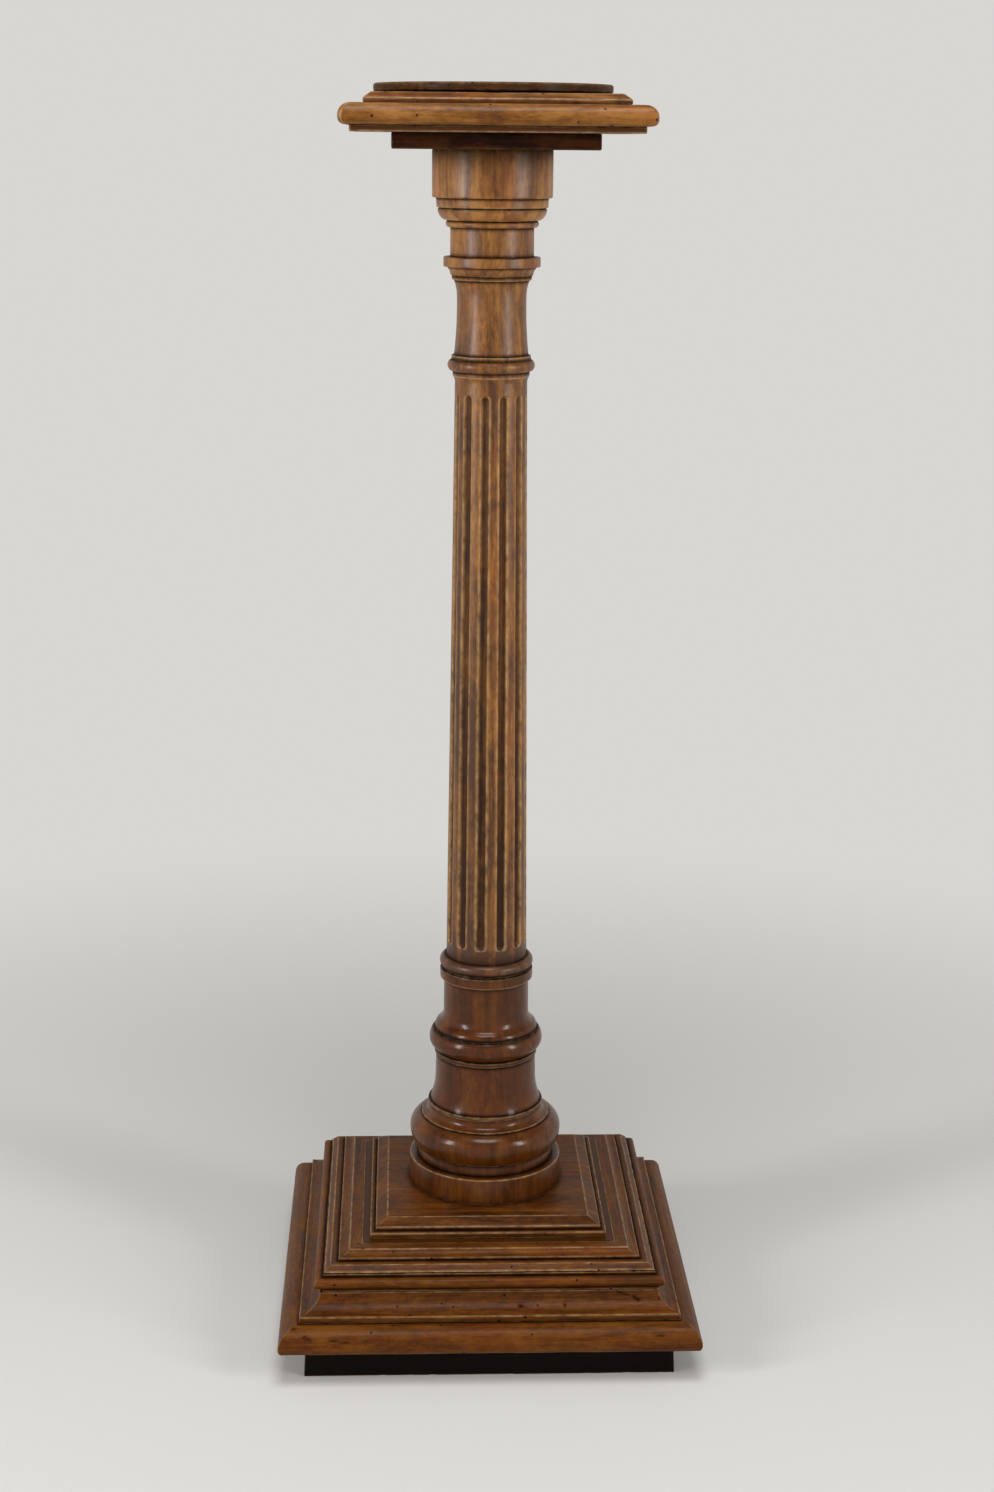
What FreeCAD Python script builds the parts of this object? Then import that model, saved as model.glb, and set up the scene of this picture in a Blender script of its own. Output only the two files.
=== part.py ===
import FreeCAD, Part
import math
import os
from types import SimpleNamespace

import Sketcher

# A walnut pedestal column. A square base rises in four moulded tiers and a bevelled block from a dark
# recessed foot. On it stands a turned column of three stocks: a torus base, a ringed lower shaft, and
# a tapering fluted shaft that carries its own capital. A square cap ends in a round top that turns on
# a central pivot. Millimetres, +Z up, the origin on the floor under the column, the front towards -Y.

# ---------------------------------------------------------------------------------------------------
# Driving sizes. A setback, width, step or projection is measured from the member that FOLLOWING names,
# and every height is the rise of its own member.
# ---------------------------------------------------------------------------------------------------
SIZES = {
    # Foot frame: four mitred rails with a glue block in each inner corner
    "foot_height": 34.3,
    "foot_setback": 24.3,
    "foot_flare": 1.5,
    "foot_rail_thickness": 22.0,
    "glue_block_leg": 42.0,
    "glue_block_floor_gap": 4.5,

    # First tier: a thumbnail moulding mitred round a board
    "base_half_width": 205.3,
    "thumb_height": 23.9,
    "thumb_widest_height": 6.6,
    "thumb_under_round": 3.0,
    "thumb_slope_width": 14.7,
    "thumb_seat_width": 18.2,

    # Second tier: a fillet under a cavetto
    "cavetto_height": 23.6,
    "cavetto_fillet_height": 7.1,
    "cavetto_setback": 5.3,
    "cavetto_projection": 19.7,
    "cavetto_neck_height": 3.3,
    "cavetto_seat_width": 13.8,

    # Third tier: a half-round nosing under a fillet
    "nosing_height": 17.8,
    "nosing_recess_height": 4.4,
    "nose_height": 9.9,
    "nose_step": 0.7,
    "nose_projection": 4.7,
    "nosing_fillet_setback": 3.2,
    "nosing_seat_width": 21.0,

    # Fourth tier: a bevel, a riser and a small cove
    "cove_tier_height": 14.1,
    "bevel_height": 6.3,
    "bevel_width": 7.0,
    "riser_setback": 7.5,
    "riser_height": 3.0,
    "cove_setback": 3.6,
    "cove_projection": 6.9,
    "cove_seat_width": 13.5,

    # Bevelled block under the column
    "block_height": 16.4,
    "block_setback": 20.0,
    "block_fillet_height": 6.6,
    "block_fillet_width": 5.7,
    "block_riser_height": 3.9,
    "block_bevel_width": 11.7,

    # Column base: disc, recessed band, torus and scotia
    "disc_projection": 8.6,
    "disc_height": 27.3,
    "band_setback": 2.5,
    "band_height": 11.8,
    "torus_lower_projection": 5.8,
    "torus_upper_projection": 12.9,
    "torus_lower_height": 17.5,
    "torus_upper_height": 14.7,
    "torus_fillet_step": 1.3,
    "torus_fillet_height": 1.8,
    "scotia_step": 1.7,
    "scotia_height": 10.7,
    "scotia_projection": 5.2,

    # Lower shaft: flared foot, plain drum, ring and upper drum
    "foot_fillet_height": 3.0,
    "foot_fillet_projection": 1.9,
    "flare_projection": 5.5,
    "flare_height": 26.9,
    "lower_drum_radius": 51.0,
    "lower_drum_height": 23.2,
    "lower_drum_taper": 0.5,
    "girdle_projection": 1.6,
    "girdle_height": 5.1,
    "girdle_groove_height": 1.6,
    "ring_step": 1.3,
    "ring_lower_projection": 5.5,
    "ring_upper_projection": 3.7,
    "ring_lower_height": 9.6,
    "ring_upper_height": 10.0,
    "ring_fillet_setback": 0.5,
    "ring_fillet_height": 1.5,
    "roll_setback": 1.1,
    "roll_projection": 4.8,
    "roll_height": 7.5,
    "sweep_width": 4.2,
    "sweep_height": 10.3,
    "upper_drum_height": 35.6,
    "upper_drum_taper": 0.4,
    "shaft_fillet_projection": 4.1,
    "shaft_fillet_height": 10.9,
    "joint_groove_depth": 1.4,
    "joint_groove_height": 1.3,

    # Fluted shaft and its neck
    "bead_lower_projection": 1.7,
    "bead_upper_projection": 5.5,
    "bead_lower_height": 3.9,
    "bead_upper_height": 6.3,
    "shaft_setback": 1.1,
    "shaft_taper": 5.9,
    "shaft_height": 574.5,
    "flute_start": 14.3,
    "flute_end": 11.0,
    "flute_foot_radius": 4.9,
    "flute_head_radius": 4.3,
    "flute_stand_off": 0.7,
    "flute_count": 12,
    "flute_turn": 19.1,
    "shaft_flare_height": 5.5,
    "collarin_projection": 2.2,
    "collarin_height": 4.7,
    "astragal_step": 1.6,
    "astragal_projection": 3.3,
    "astragal_height": 10.9,
    "neck_fillet_setback": 0.4,
    "neck_fillet_height": 4.2,
    "neck_setback": 2.4,
    "neck_sweep_width": 2.6,
    "neck_sweep_height": 43.9,
    "neck_height": 10.8,
    "neck_flare_width": 2.8,
    "neck_flare_height": 15.0,

    # Capital: cavetto, collar, upper neck, bead, echinus and drum
    "capital_fillet_step": 2.1,
    "capital_fillet_height": 4.2,
    "capital_cavetto_step": 1.3,
    "capital_cavetto_projection": 3.6,
    "capital_cavetto_height": 8.2,
    "collar_step": 3.1,
    "collar_height": 9.2,
    "collar_round": 1.2,
    "upper_neck_setback": 6.4,
    "upper_neck_height": 27.2,
    "capital_bead_step": 2.1,
    "capital_bead_projection": 2.2,
    "capital_bead_height": 6.4,
    "echinus_step": 3.6,
    "echinus_projection": 6.3,
    "echinus_height": 10.6,
    "echinus_quirk_depth": 1.0,
    "echinus_quirk_height": 0.8,
    "necking_step": 2.1,
    "necking_projection": 0.4,
    "necking_height": 9.1,
    "drum_step": 3.7,
    "drum_height": 44.0,
    "drum_round": 1.5,

    # Turned tenons and their sockets
    "base_tenon_radius": 22.0,
    "base_tenon_end_gap": 1.5,
    "lower_tenon_radius": 19.0,
    "lower_tenon_length": 52.0,
    "shaft_tenon_radius": 17.0,
    "shaft_tenon_length": 52.0,
    "cap_tenon_radius": 17.0,
    "cap_tenon_end_gap": 1.0,
    "socket_end_gap": 1.5,
    "tenon_clearance": 0.15,
    "wedge_length": 32.0,
    "wedge_foot_thickness": 4.4,
    "wedge_head_thickness": 1.4,
    "wedge_side_gap": 1.2,
    "wedge_clearance": 0.1,

    # Square cap: abacus block, under board, bullnosed slab and bevelled step
    "abacus_height": 14.7,
    "abacus_setback": 46.7,
    "under_board_height": 6.1,
    "under_board_setback": 9.9,
    "slab_height": 18.7,
    "slab_half_width": 140.9,
    "slab_top_round": 11.0,
    "slab_under_round": 6.0,
    "step_height": 9.6,
    "step_setback": 21.8,
    "step_bevel_height": 5.3,
    "step_bevel_width": 7.2,

    # Turning top: disc, flanged pivot, bush, bearing washer and nut
    "top_setback": 0.7,
    "top_thickness": 7.8,
    "top_round": 1.6,
    "top_gap": 1.4,
    "bearing_clearance": 0.1,
    "bearing_inner_radius": 34.0,
    "bearing_outer_radius": 70.0,
    "pivot_radius": 8.0,
    "pivot_clearance": 0.05,
    "flange_radius": 27.0,
    "flange_thickness": 2.6,
    "flange_clearance": 0.1,
    "bush_wall": 3.0,
    "nut_thickness": 4.4,
    "nut_width_across_flats": 19.0,
    "nut_washer_radius": 13.0,
    "nut_washer_thickness": 1.0,
    "nut_recess_radius": 15.0,
    "nut_end_gap": 0.5,

    # Countersunk screws: ring radius, length, shank and head
    "base_screw_ring": 105.0,
    "base_screw_length": 58.0,
    "block_screw_ring": 78.0,
    "block_screw_length": 44.0,
    "cap_screw_ring": 40.0,
    "cap_screw_length": 34.0,
    "screw_shank_radius": 2.4,
    "screw_head_radius": 4.8,
    "screw_head_height": 3.0,
    "screw_point_height": 5.0,
    "top_screw_ring": 19.0,
    "top_screw_length": 5.4,
    "top_screw_shank_radius": 1.2,
    "top_screw_head_radius": 2.4,
    "top_screw_head_height": 1.3,
    "top_screw_point_height": 1.4,
    "screw_clearance": 0.1,
}

# Sizes that follow the driving ones. Half widths are measured from the centre line to a flat side.
FOLLOWING = {
    # Base: each tier steps in from the one under it, and its board ends a seat behind its moulding
    "foot_half_width": "base_half_width - foot_setback",
    "thumb_top_half_width": "base_half_width - thumb_slope_width",
    "thumb_board_half_width": "thumb_top_half_width - thumb_seat_width",
    "cavetto_half_width": "thumb_top_half_width - cavetto_setback",
    "cavetto_neck_half_width": "cavetto_half_width - cavetto_projection",
    "cavetto_board_half_width": "cavetto_neck_half_width - cavetto_seat_width",
    "nose_root_half_width": "cavetto_neck_half_width + nose_step",
    "nose_half_width": "nose_root_half_width + nose_projection",
    "nosing_fillet_half_width": "cavetto_neck_half_width - nosing_fillet_setback",
    "nosing_board_half_width": "nosing_fillet_half_width - nosing_seat_width",
    "bevel_top_half_width": "nosing_fillet_half_width - bevel_width",
    "riser_half_width": "bevel_top_half_width - riser_setback",
    "cove_foot_half_width": "riser_half_width - cove_setback",
    "cove_top_half_width": "cove_foot_half_width - cove_projection",
    "cove_board_half_width": "cove_top_half_width - cove_seat_width",
    "block_half_width": "cove_top_half_width - block_setback",
    "block_riser_half_width": "block_half_width - block_fillet_width",
    "block_top_half_width": "block_riser_half_width - block_bevel_width",

    # Column base: outwards and down from the lower shaft's drum
    "flare_radius": "lower_drum_radius + flare_projection",
    "scotia_top_radius": "flare_radius + foot_fillet_projection",
    "scotia_foot_radius": "scotia_top_radius + scotia_projection",
    "torus_fillet_radius": "scotia_foot_radius + scotia_step",
    "torus_top_radius": "torus_fillet_radius - torus_fillet_step",
    "torus_radius": "torus_top_radius + torus_upper_projection",
    "torus_foot_radius": "torus_radius - torus_lower_projection",
    "band_radius": "torus_foot_radius - band_setback",
    "disc_radius": "band_radius + disc_projection",

    # Lower shaft: up from its drum
    "lower_drum_top_radius": "lower_drum_radius - lower_drum_taper",
    "girdle_radius": "lower_drum_top_radius + girdle_projection",
    "ring_foot_radius": "lower_drum_top_radius + ring_step",
    "ring_radius": "ring_foot_radius + ring_lower_projection",
    "ring_top_radius": "ring_radius - ring_upper_projection",
    "ring_fillet_radius": "ring_top_radius - ring_fillet_setback",
    "roll_radius": "ring_fillet_radius - roll_setback",
    "roll_top_radius": "roll_radius - roll_projection",
    "upper_drum_radius": "roll_top_radius - sweep_width",
    "upper_drum_top_radius": "upper_drum_radius - upper_drum_taper",
    "shaft_fillet_radius": "upper_drum_top_radius + shaft_fillet_projection",
    "joint_groove_radius": "shaft_fillet_radius - joint_groove_depth",

    # Fluted shaft and capital: up from the joint
    "bead_radius": "joint_groove_radius + bead_lower_projection",
    "bead_top_radius": "bead_radius - bead_upper_projection",
    "shaft_foot_radius": "bead_top_radius - shaft_setback",
    "shaft_head_radius": "shaft_foot_radius - shaft_taper",
    "collarin_radius": "shaft_head_radius + collarin_projection",
    "astragal_foot_radius": "collarin_radius + astragal_step",
    "astragal_radius": "astragal_foot_radius + astragal_projection",
    "neck_fillet_radius": "astragal_foot_radius - neck_fillet_setback",
    "neck_foot_radius": "neck_fillet_radius - neck_setback",
    "neck_radius": "neck_foot_radius - neck_sweep_width",
    "neck_head_radius": "neck_radius + neck_flare_width",
    "capital_fillet_radius": "neck_head_radius + capital_fillet_step",
    "capital_cavetto_radius": "capital_fillet_radius + capital_cavetto_step",
    "capital_cavetto_top_radius": "capital_cavetto_radius + capital_cavetto_projection",
    "collar_radius": "capital_cavetto_top_radius + collar_step",
    "upper_neck_radius": "collar_radius - upper_neck_setback",
    "capital_bead_root_radius": "upper_neck_radius + capital_bead_step",
    "capital_bead_radius": "capital_bead_root_radius + capital_bead_projection",
    "echinus_foot_radius": "capital_bead_root_radius + echinus_step",
    "echinus_radius": "echinus_foot_radius + echinus_projection",
    "echinus_quirk_radius": "echinus_radius - echinus_quirk_depth",
    "necking_foot_radius": "echinus_quirk_radius + necking_step",
    "necking_top_radius": "necking_foot_radius + necking_projection",
    "drum_radius": "necking_top_radius + drum_step",

    # Cap: each square member and the round top step in from the slab
    "abacus_half_width": "slab_half_width - abacus_setback",
    "under_board_half_width": "slab_half_width - under_board_setback",
    "step_half_width": "slab_half_width - step_setback",
    "step_top_half_width": "step_half_width - step_bevel_width",
    "top_radius": "step_top_half_width - top_setback",
}

doc = FreeCAD.newDocument("pedestal")
sheet = doc.addObject("Spreadsheet::Sheet", "Sizes")
for row, (name, content) in enumerate([*SIZES.items(), *FOLLOWING.items()], start=1):
    sheet.set(f"A{row}", name)
    sheet.set(f"B{row}", f"={content}" if name in FOLLOWING else str(content))
    sheet.setAlias(f"B{row}", name)
doc.recompute()


class Size:
    """A length, held as a number and as the formula of sheet cells that gives the same number."""

    def __init__(self, number, formula):
        self.number = number
        self.formula = formula

    def __add__(self, other):
        return Size(self.number + other.number, f"{self.formula} + {other.formula}")

    def __sub__(self, other):
        return Size(self.number - other.number, f"{self.formula} - ({other.formula})")

    def __neg__(self):
        return Size(-self.number, f"-({self.formula})")

    def __mul__(self, factor):
        if isinstance(factor, Size):
            return Size(self.number * factor.number, f"({self.formula}) * ({factor.formula})")
        return Size(self.number * factor, f"({self.formula}) * {factor}")

    def __truediv__(self, divisor):
        return Size(self.number / divisor.number, f"({self.formula}) / ({divisor.formula})")


size = SimpleNamespace(**{name: Size(float(sheet.get(name)), f"Sizes.{name}")
                          for name in [*SIZES, *FOLLOWING]})
NOUGHT = Size(0.0, "0")
FULL_TURN = 360.0
QUARTER_TURN = 90.0

# The parts in the order in which they are made, and the level of each part's top above the floor.
parts = []
tops = {}


# ---------------------------------------------------------------------------------------------------
# Sketch helpers
# ---------------------------------------------------------------------------------------------------
def point(x, y):
    return FreeCAD.Vector(x.number, y.number, 0)


def bind(sketch, kind, places, length):
    """Adds a dimension between sketch points and ties it to the sheet."""
    index = sketch.addConstraint(Sketcher.Constraint(kind, *places, length.number))
    sketch.setExpression(f"Constraints[{index}]", length.formula)


def pin(sketch, place, x, y):
    """Fixes a sketch point at x, y from the sketch's origin."""
    for length, kind, axis in ((x, "DistanceX", -2), (y, "DistanceY", -1)):
        if length is NOUGHT:
            sketch.addConstraint(Sketcher.Constraint("PointOnObject", *place, axis))
        else:
            bind(sketch, kind, (-1, 1, *place), length)


def arc_centre(first, last, bend):
    """The centre of the arc between two corners that is upright or level at its first or last one."""
    direction, end = bend.split()
    at, other = (first, last) if end == "first" else (last, first)
    across, up = other.x - at.x, other.y - at.y
    if direction == "upright":
        return FreeCAD.Vector(at.x + (across**2 + up**2) / (2 * across), at.y, 0)
    return FreeCAD.Vector(at.x, at.y + (across**2 + up**2) / (2 * up), 0)


def draw_edge(sketch, first, last, bend):
    """Draws a line or an arc, and returns its first and last end as sketch points."""
    if not bend:
        index = sketch.addGeometry(Part.LineSegment(first, last), False)
        return (index, 1), (index, 2)
    centre = arc_centre(first, last, bend)
    angles = [math.atan2(end.y - centre.y, end.x - centre.x) for end in (first, last)]
    forwards = (angles[1] - angles[0]) % (2 * math.pi) < math.pi
    start, stop = angles if forwards else angles[::-1]
    circle = Part.Circle(centre, FreeCAD.Vector(0, 0, 1), (first - centre).Length)
    index = sketch.addGeometry(Part.ArcOfCircle(circle, start, stop), False)
    ends = ((index, 1), (index, 2)) if forwards else ((index, 2), (index, 1))
    direction, end = bend.split()
    held = ends[0] if end == "first" else ends[1]
    alignment = "Horizontal" if direction == "upright" else "Vertical"
    sketch.addConstraint(Sketcher.Constraint(alignment, index, 3, *held))
    return ends


def draw_outline(sketch, corners):
    """Closes an outline. A corner is (x, y), or (x, y, bend) where an arc leaves it."""
    edges = []
    for number, corner in enumerate(corners):
        following = corners[(number + 1) % len(corners)]
        bend = corner[2] if len(corner) > 2 else None
        edges.append(draw_edge(sketch, point(*corner[:2]), point(*following[:2]), bend))
    for number, corner in enumerate(corners):
        sketch.addConstraint(Sketcher.Constraint("Coincident", *edges[number - 1][1], *edges[number][0]))
        pin(sketch, edges[number][0], corner[0], corner[1])


def draw_square(sketch, half_width):
    draw_outline(sketch, [(-half_width, -half_width), (half_width, -half_width),
                          (half_width, half_width), (-half_width, half_width)])


def draw_circle(sketch, radius):
    circle = Part.Circle(FreeCAD.Vector(0, 0, 0), FreeCAD.Vector(0, 0, 1), radius.number)
    index = sketch.addGeometry(circle, False)
    sketch.addConstraint(Sketcher.Constraint("Coincident", index, 3, -1, 1))
    bind(sketch, "Radius", (index,), radius)


def draw_upright_axis(sketch, x, height):
    """A construction line up from the sketch's level axis, for a revolved feature to turn about."""
    index = sketch.addGeometry(Part.LineSegment(point(x, NOUGHT), point(x, height)), True)
    pin(sketch, (index, 1), x, NOUGHT)
    pin(sketch, (index, 2), x, height)


# ---------------------------------------------------------------------------------------------------
# Body helpers
# ---------------------------------------------------------------------------------------------------
def origin_feature(body, role):
    return next(item for item in body.Origin.OriginFeatures if item.Role == role)


def new_body(label, level, turn=0.0):
    """A body whose own level axis stands at the given height, turned about the column's centre line."""
    body = doc.addObject("PartDesign::Body", label)
    body.Label = label
    rotation = FreeCAD.Rotation(FreeCAD.Vector(0, 0, 1), turn)
    body.Placement = FreeCAD.Placement(FreeCAD.Vector(0, 0, level.number), rotation)
    body.setExpression(".Placement.Base.z", level.formula)
    parts.append(body)
    return body


def set_top(body, height):
    """Notes the level of a part's top, for what seats on it."""
    level = body.Placement.Base.z
    tops[body.Label] = Size(level, f"{body.Name}.Placement.Base.z / 1mm") + height


def new_sketch(body, role, purpose, lift=NOUGHT):
    sketch = body.newObject("Sketcher::SketchObject", f"{body.Name}_{purpose}")
    sketch.AttachmentSupport = [(origin_feature(body, role), "")]
    sketch.MapMode = "FlatFace"
    if lift is not NOUGHT:
        sketch.setExpression(".AttachmentOffset.Base.z", lift.formula)
    return sketch


def pad(body, sketch, length, both_ways=False):
    feature = body.newObject("PartDesign::Pad", f"{sketch.Name}_pad")
    feature.Profile = sketch
    feature.setExpression("Length", length.formula)
    feature.Midplane = both_ways
    doc.recompute()
    return feature


def pocket(body, sketch, both_ways=False, reverse=True):
    """Cuts right through. A sketch on the underside cuts upwards."""
    before = body.Shape.Volume
    feature = body.newObject("PartDesign::Pocket", f"{sketch.Name}_pocket")
    feature.Profile = sketch
    feature.Type = "ThroughAll"
    feature.Midplane = both_ways
    feature.Reversed = reverse
    doc.recompute()
    if body.Shape.Volume >= before:
        raise RuntimeError(f"{feature.Name} cuts nothing")
    return feature


def turn(body, sketch, axis="V_Axis", cut=False):
    """Turns a sketch a full circle about one of its axes, as a solid or as a cut."""
    before = body.Shape.Volume if cut else 0.0
    kind = "Groove" if cut else "Revolution"
    feature = body.newObject(f"PartDesign::{kind}", f"{sketch.Name}_{kind.lower()}")
    feature.Profile = sketch
    feature.ReferenceAxis = (sketch, [axis])
    feature.Angle = FULL_TURN
    doc.recompute()
    if cut and body.Shape.Volume >= before:
        raise RuntimeError(f"{feature.Name} cuts nothing")
    return feature


def ring_of(body, feature, count):
    """Repeats a feature round the column's centre line."""
    pattern = body.newObject("PartDesign::PolarPattern", f"{feature.Name}_ring")
    pattern.Originals = [feature]
    pattern.Axis = (origin_feature(body, "Z_Axis"), [""])
    pattern.Angle = FULL_TURN
    if isinstance(count, Size):
        pattern.setExpression("Occurrences", count.formula)
    else:
        pattern.Occurrences = count
    body.Tip = pattern
    doc.recompute()


def climb(start, members):
    """Corners of a moulded outline, from (radius, rise above the corner before, bend) up the piece."""
    corners = []
    level = start
    for radius, rise, *bend in members:
        level = level if rise is NOUGHT else level + rise
        corners.append((radius, level, *bend))
    return corners


# ---------------------------------------------------------------------------------------------------
# Screws: one outline serves the screws and, a clearance larger, the holes that they sit in
# ---------------------------------------------------------------------------------------------------
def screw_kind(ring, length, shank, head, head_height, point_height):
    return SimpleNamespace(ring=ring, length=length, shank=shank, head=head,
                           head_height=head_height, point_height=point_height)


def wood_screw(ring, length):
    return screw_kind(ring, length, size.screw_shank_radius, size.screw_head_radius,
                      size.screw_head_height, size.screw_point_height)


def draw_screw(sketch, kind, foot, clearance=NOUGHT):
    """The right half of a countersunk screw, head down, whose head starts at the height foot."""
    def grown(radius):
        return radius if clearance is NOUGHT else radius + clearance

    tip = foot + kind.length
    tip = tip if clearance is NOUGHT else tip + clearance
    shoulder = foot + kind.length - kind.point_height
    head_top = foot + kind.head_height
    draw_outline(sketch, [
        (kind.ring, foot),
        (kind.ring + grown(kind.head), foot),
        (kind.ring + grown(kind.shank), head_top),
        (kind.ring + grown(kind.shank), shoulder),
        (kind.ring, tip),
    ])
    draw_upright_axis(sketch, kind.ring, kind.length)


def screws(label, kind, level, count):
    """A ring of identical screws in one part."""
    body = new_body(label, level)
    body.AllowCompound = True
    sketch = new_sketch(body, "XZ_Plane", "outline")
    draw_screw(sketch, kind, NOUGHT)
    ring_of(body, turn(body, sketch, axis="Axis0"), count)


def screw_holes(body, kind, foot, count, purpose):
    """Holes for a ring of screws whose heads start at the height foot in the body's own frame."""
    sketch = new_sketch(body, "XZ_Plane", purpose)
    draw_screw(sketch, kind, foot, size.screw_clearance)
    ring_of(body, turn(body, sketch, axis="Axis0", cut=True), count)


BASE_SCREW = wood_screw(size.base_screw_ring, size.base_screw_length)
BLOCK_SCREW = wood_screw(size.block_screw_ring, size.block_screw_length)
CAP_SCREW = wood_screw(size.cap_screw_ring, size.cap_screw_length)
TOP_SCREW = screw_kind(size.top_screw_ring, size.top_screw_length, size.top_screw_shank_radius,
                       size.top_screw_head_radius, size.top_screw_head_height,
                       size.top_screw_point_height)
BOARD_SCREW_COUNT = 4
TOP_SCREW_COUNT = 3


# ---------------------------------------------------------------------------------------------------
# Square members
# ---------------------------------------------------------------------------------------------------
SIDES = {"back": 0.0, "left": 90.0, "front": 180.0, "right": 270.0}


def mitred_strip(label, section, widest, inner, level, side_turn):
    """A strip with the given section, outwards along +Y, its ends cut to meet the next at 45 degrees."""
    body = new_body(label, level, side_turn)
    profile = new_sketch(body, "YZ_Plane", "section")
    draw_outline(profile, section)
    pad(body, profile, widest * 2.0, both_ways=True)
    for hand, sign in (("right", 1.0), ("left", -1.0)):
        mitre = new_sketch(body, "XY_Plane", f"{hand}_mitre")
        draw_outline(mitre, [(inner * sign, inner), (widest * sign, inner), (widest * sign, widest)])
        pocket(body, mitre)
    return body


def frame_of_strips(name, section, widest, inner, level, height):
    """Four mitred strips round a square, one for each side."""
    for side, side_turn in SIDES.items():
        strip = mitred_strip(f"{name}_{side}", section, widest, inner, level, side_turn)
        set_top(strip, height)


def board(label, half_width, height, level):
    body = new_body(label, level)
    outline = new_sketch(body, "XY_Plane", "outline")
    draw_square(outline, half_width)
    pad(body, outline, height)
    set_top(body, height)
    return body


def through_bore(body, radius):
    bore = new_sketch(body, "XY_Plane", "bore")
    draw_circle(bore, radius)
    pocket(body, bore)


def bevelled_top(body, foot_half_width, foot_height, top_half_width, top_height):
    """A square that narrows from one height to another, added to a body."""
    foot = new_sketch(body, "XY_Plane", "bevel_foot", foot_height)
    draw_square(foot, foot_half_width)
    top = new_sketch(body, "XY_Plane", "bevel_top", top_height)
    draw_square(top, top_half_width)
    loft = body.newObject("PartDesign::AdditiveLoft", f"{body.Name}_bevel")
    loft.Profile = foot
    loft.Sections = [top]
    loft.Ruled = True
    doc.recompute()


def round_edges(body, feature, radius, height, purpose):
    """Rounds the edges of a square feature that lie at one height of the body's own frame."""
    names = [f"Edge{number}" for number, edge in enumerate(feature.Shape.Edges, start=1)
             if abs(edge.BoundBox.ZMin - height.number) < 1e-6 and edge.BoundBox.ZLength < 1e-6]
    if len(names) != len(SIDES):
        raise RuntimeError(f"{body.Name} has {len(names)} edges to round")
    fillet = body.newObject("PartDesign::Fillet", f"{body.Name}_{purpose}")
    fillet.Base = (feature, names)
    fillet.setExpression("Radius", radius.formula)
    doc.recompute()
    return fillet


# ---------------------------------------------------------------------------------------------------
# Foot: the lowest frame, slightly wider at the floor
# ---------------------------------------------------------------------------------------------------
foot_inner = size.foot_half_width - size.foot_rail_thickness
frame_of_strips("foot_rail", [
    (foot_inner, NOUGHT),
    (size.foot_half_width, NOUGHT),
    (size.foot_half_width - size.foot_flare, size.foot_height),
    (foot_inner, size.foot_height),
], size.foot_half_width, foot_inner, NOUGHT, size.foot_height)


def glue_block(label, block_turn):
    """A triangular block in an inner corner of the foot, kept clear of the floor."""
    body = new_body(label, size.glue_block_floor_gap, block_turn)
    outline = new_sketch(body, "XY_Plane", "outline")
    far = foot_inner
    near = foot_inner - size.glue_block_leg
    draw_outline(outline, [(far, far), (near, far), (far, near)])
    pad(body, outline, size.foot_height - size.glue_block_floor_gap)


for corner, corner_turn in (("back_right", 0.0), ("back_left", 90.0),
                            ("front_left", 180.0), ("front_right", 270.0)):
    glue_block(f"glue_block_{corner}", corner_turn)


# ---------------------------------------------------------------------------------------------------
# Base tiers: each is a board with a moulding mitred round it
# ---------------------------------------------------------------------------------------------------
tenon_bore_radius = size.base_tenon_radius + size.tenon_clearance


def tier(name, section, widest, board_half_width, height, level):
    frame_of_strips(f"{name}_moulding", section, widest, board_half_width, level, height)
    middle = board(f"{name}_board", board_half_width, height, level)
    through_bore(middle, tenon_bore_radius)
    return middle


thumb_level = tops["foot_rail_front"]
thumb_board = tier("thumb", [
    (size.thumb_board_half_width, NOUGHT),
    (size.base_half_width - size.thumb_under_round, NOUGHT, "upright last"),
    (size.base_half_width, size.thumb_widest_height, "upright first"),
    (size.thumb_top_half_width, size.thumb_height),
    (size.thumb_board_half_width, size.thumb_height),
], size.base_half_width, size.thumb_board_half_width, size.thumb_height, thumb_level)

cavetto_level = tops["thumb_board"]
cavetto_board = tier("cavetto", [
    (size.cavetto_board_half_width, NOUGHT),
    (size.cavetto_half_width, NOUGHT),
    (size.cavetto_half_width, size.cavetto_fillet_height, "level first"),
    (size.cavetto_neck_half_width, size.cavetto_height - size.cavetto_neck_height),
    (size.cavetto_neck_half_width, size.cavetto_height),
    (size.cavetto_board_half_width, size.cavetto_height),
], size.cavetto_half_width, size.cavetto_board_half_width, size.cavetto_height, cavetto_level)

nosing_level = tops["cavetto_board"]
nosing_board = tier("nosing", [
    (size.nosing_board_half_width, NOUGHT),
    (size.cavetto_neck_half_width, NOUGHT),
    (size.cavetto_neck_half_width, size.nosing_recess_height),
    (size.nose_root_half_width, size.nosing_recess_height, "upright last"),
    (size.nose_half_width, size.nosing_recess_height + size.nose_height * 0.5, "upright first"),
    (size.nose_root_half_width, size.nosing_recess_height + size.nose_height),
    (size.nosing_fillet_half_width, size.nosing_recess_height + size.nose_height),
    (size.nosing_fillet_half_width, size.nosing_height),
    (size.nosing_board_half_width, size.nosing_height),
], size.nose_half_width, size.nosing_board_half_width, size.nosing_height, nosing_level)

cove_level = tops["nosing_board"]
riser_top = size.bevel_height + size.riser_height
cove_board = tier("cove", [
    (size.cove_board_half_width, NOUGHT),
    (size.nosing_fillet_half_width, NOUGHT),
    (size.bevel_top_half_width, size.bevel_height),
    (size.riser_half_width, size.bevel_height),
    (size.riser_half_width, riser_top),
    (size.cove_foot_half_width, riser_top, "level first"),
    (size.cove_top_half_width, size.cove_tier_height),
    (size.cove_board_half_width, size.cove_tier_height),
], size.nosing_fillet_half_width, size.cove_board_half_width, size.cove_tier_height, cove_level)

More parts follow.
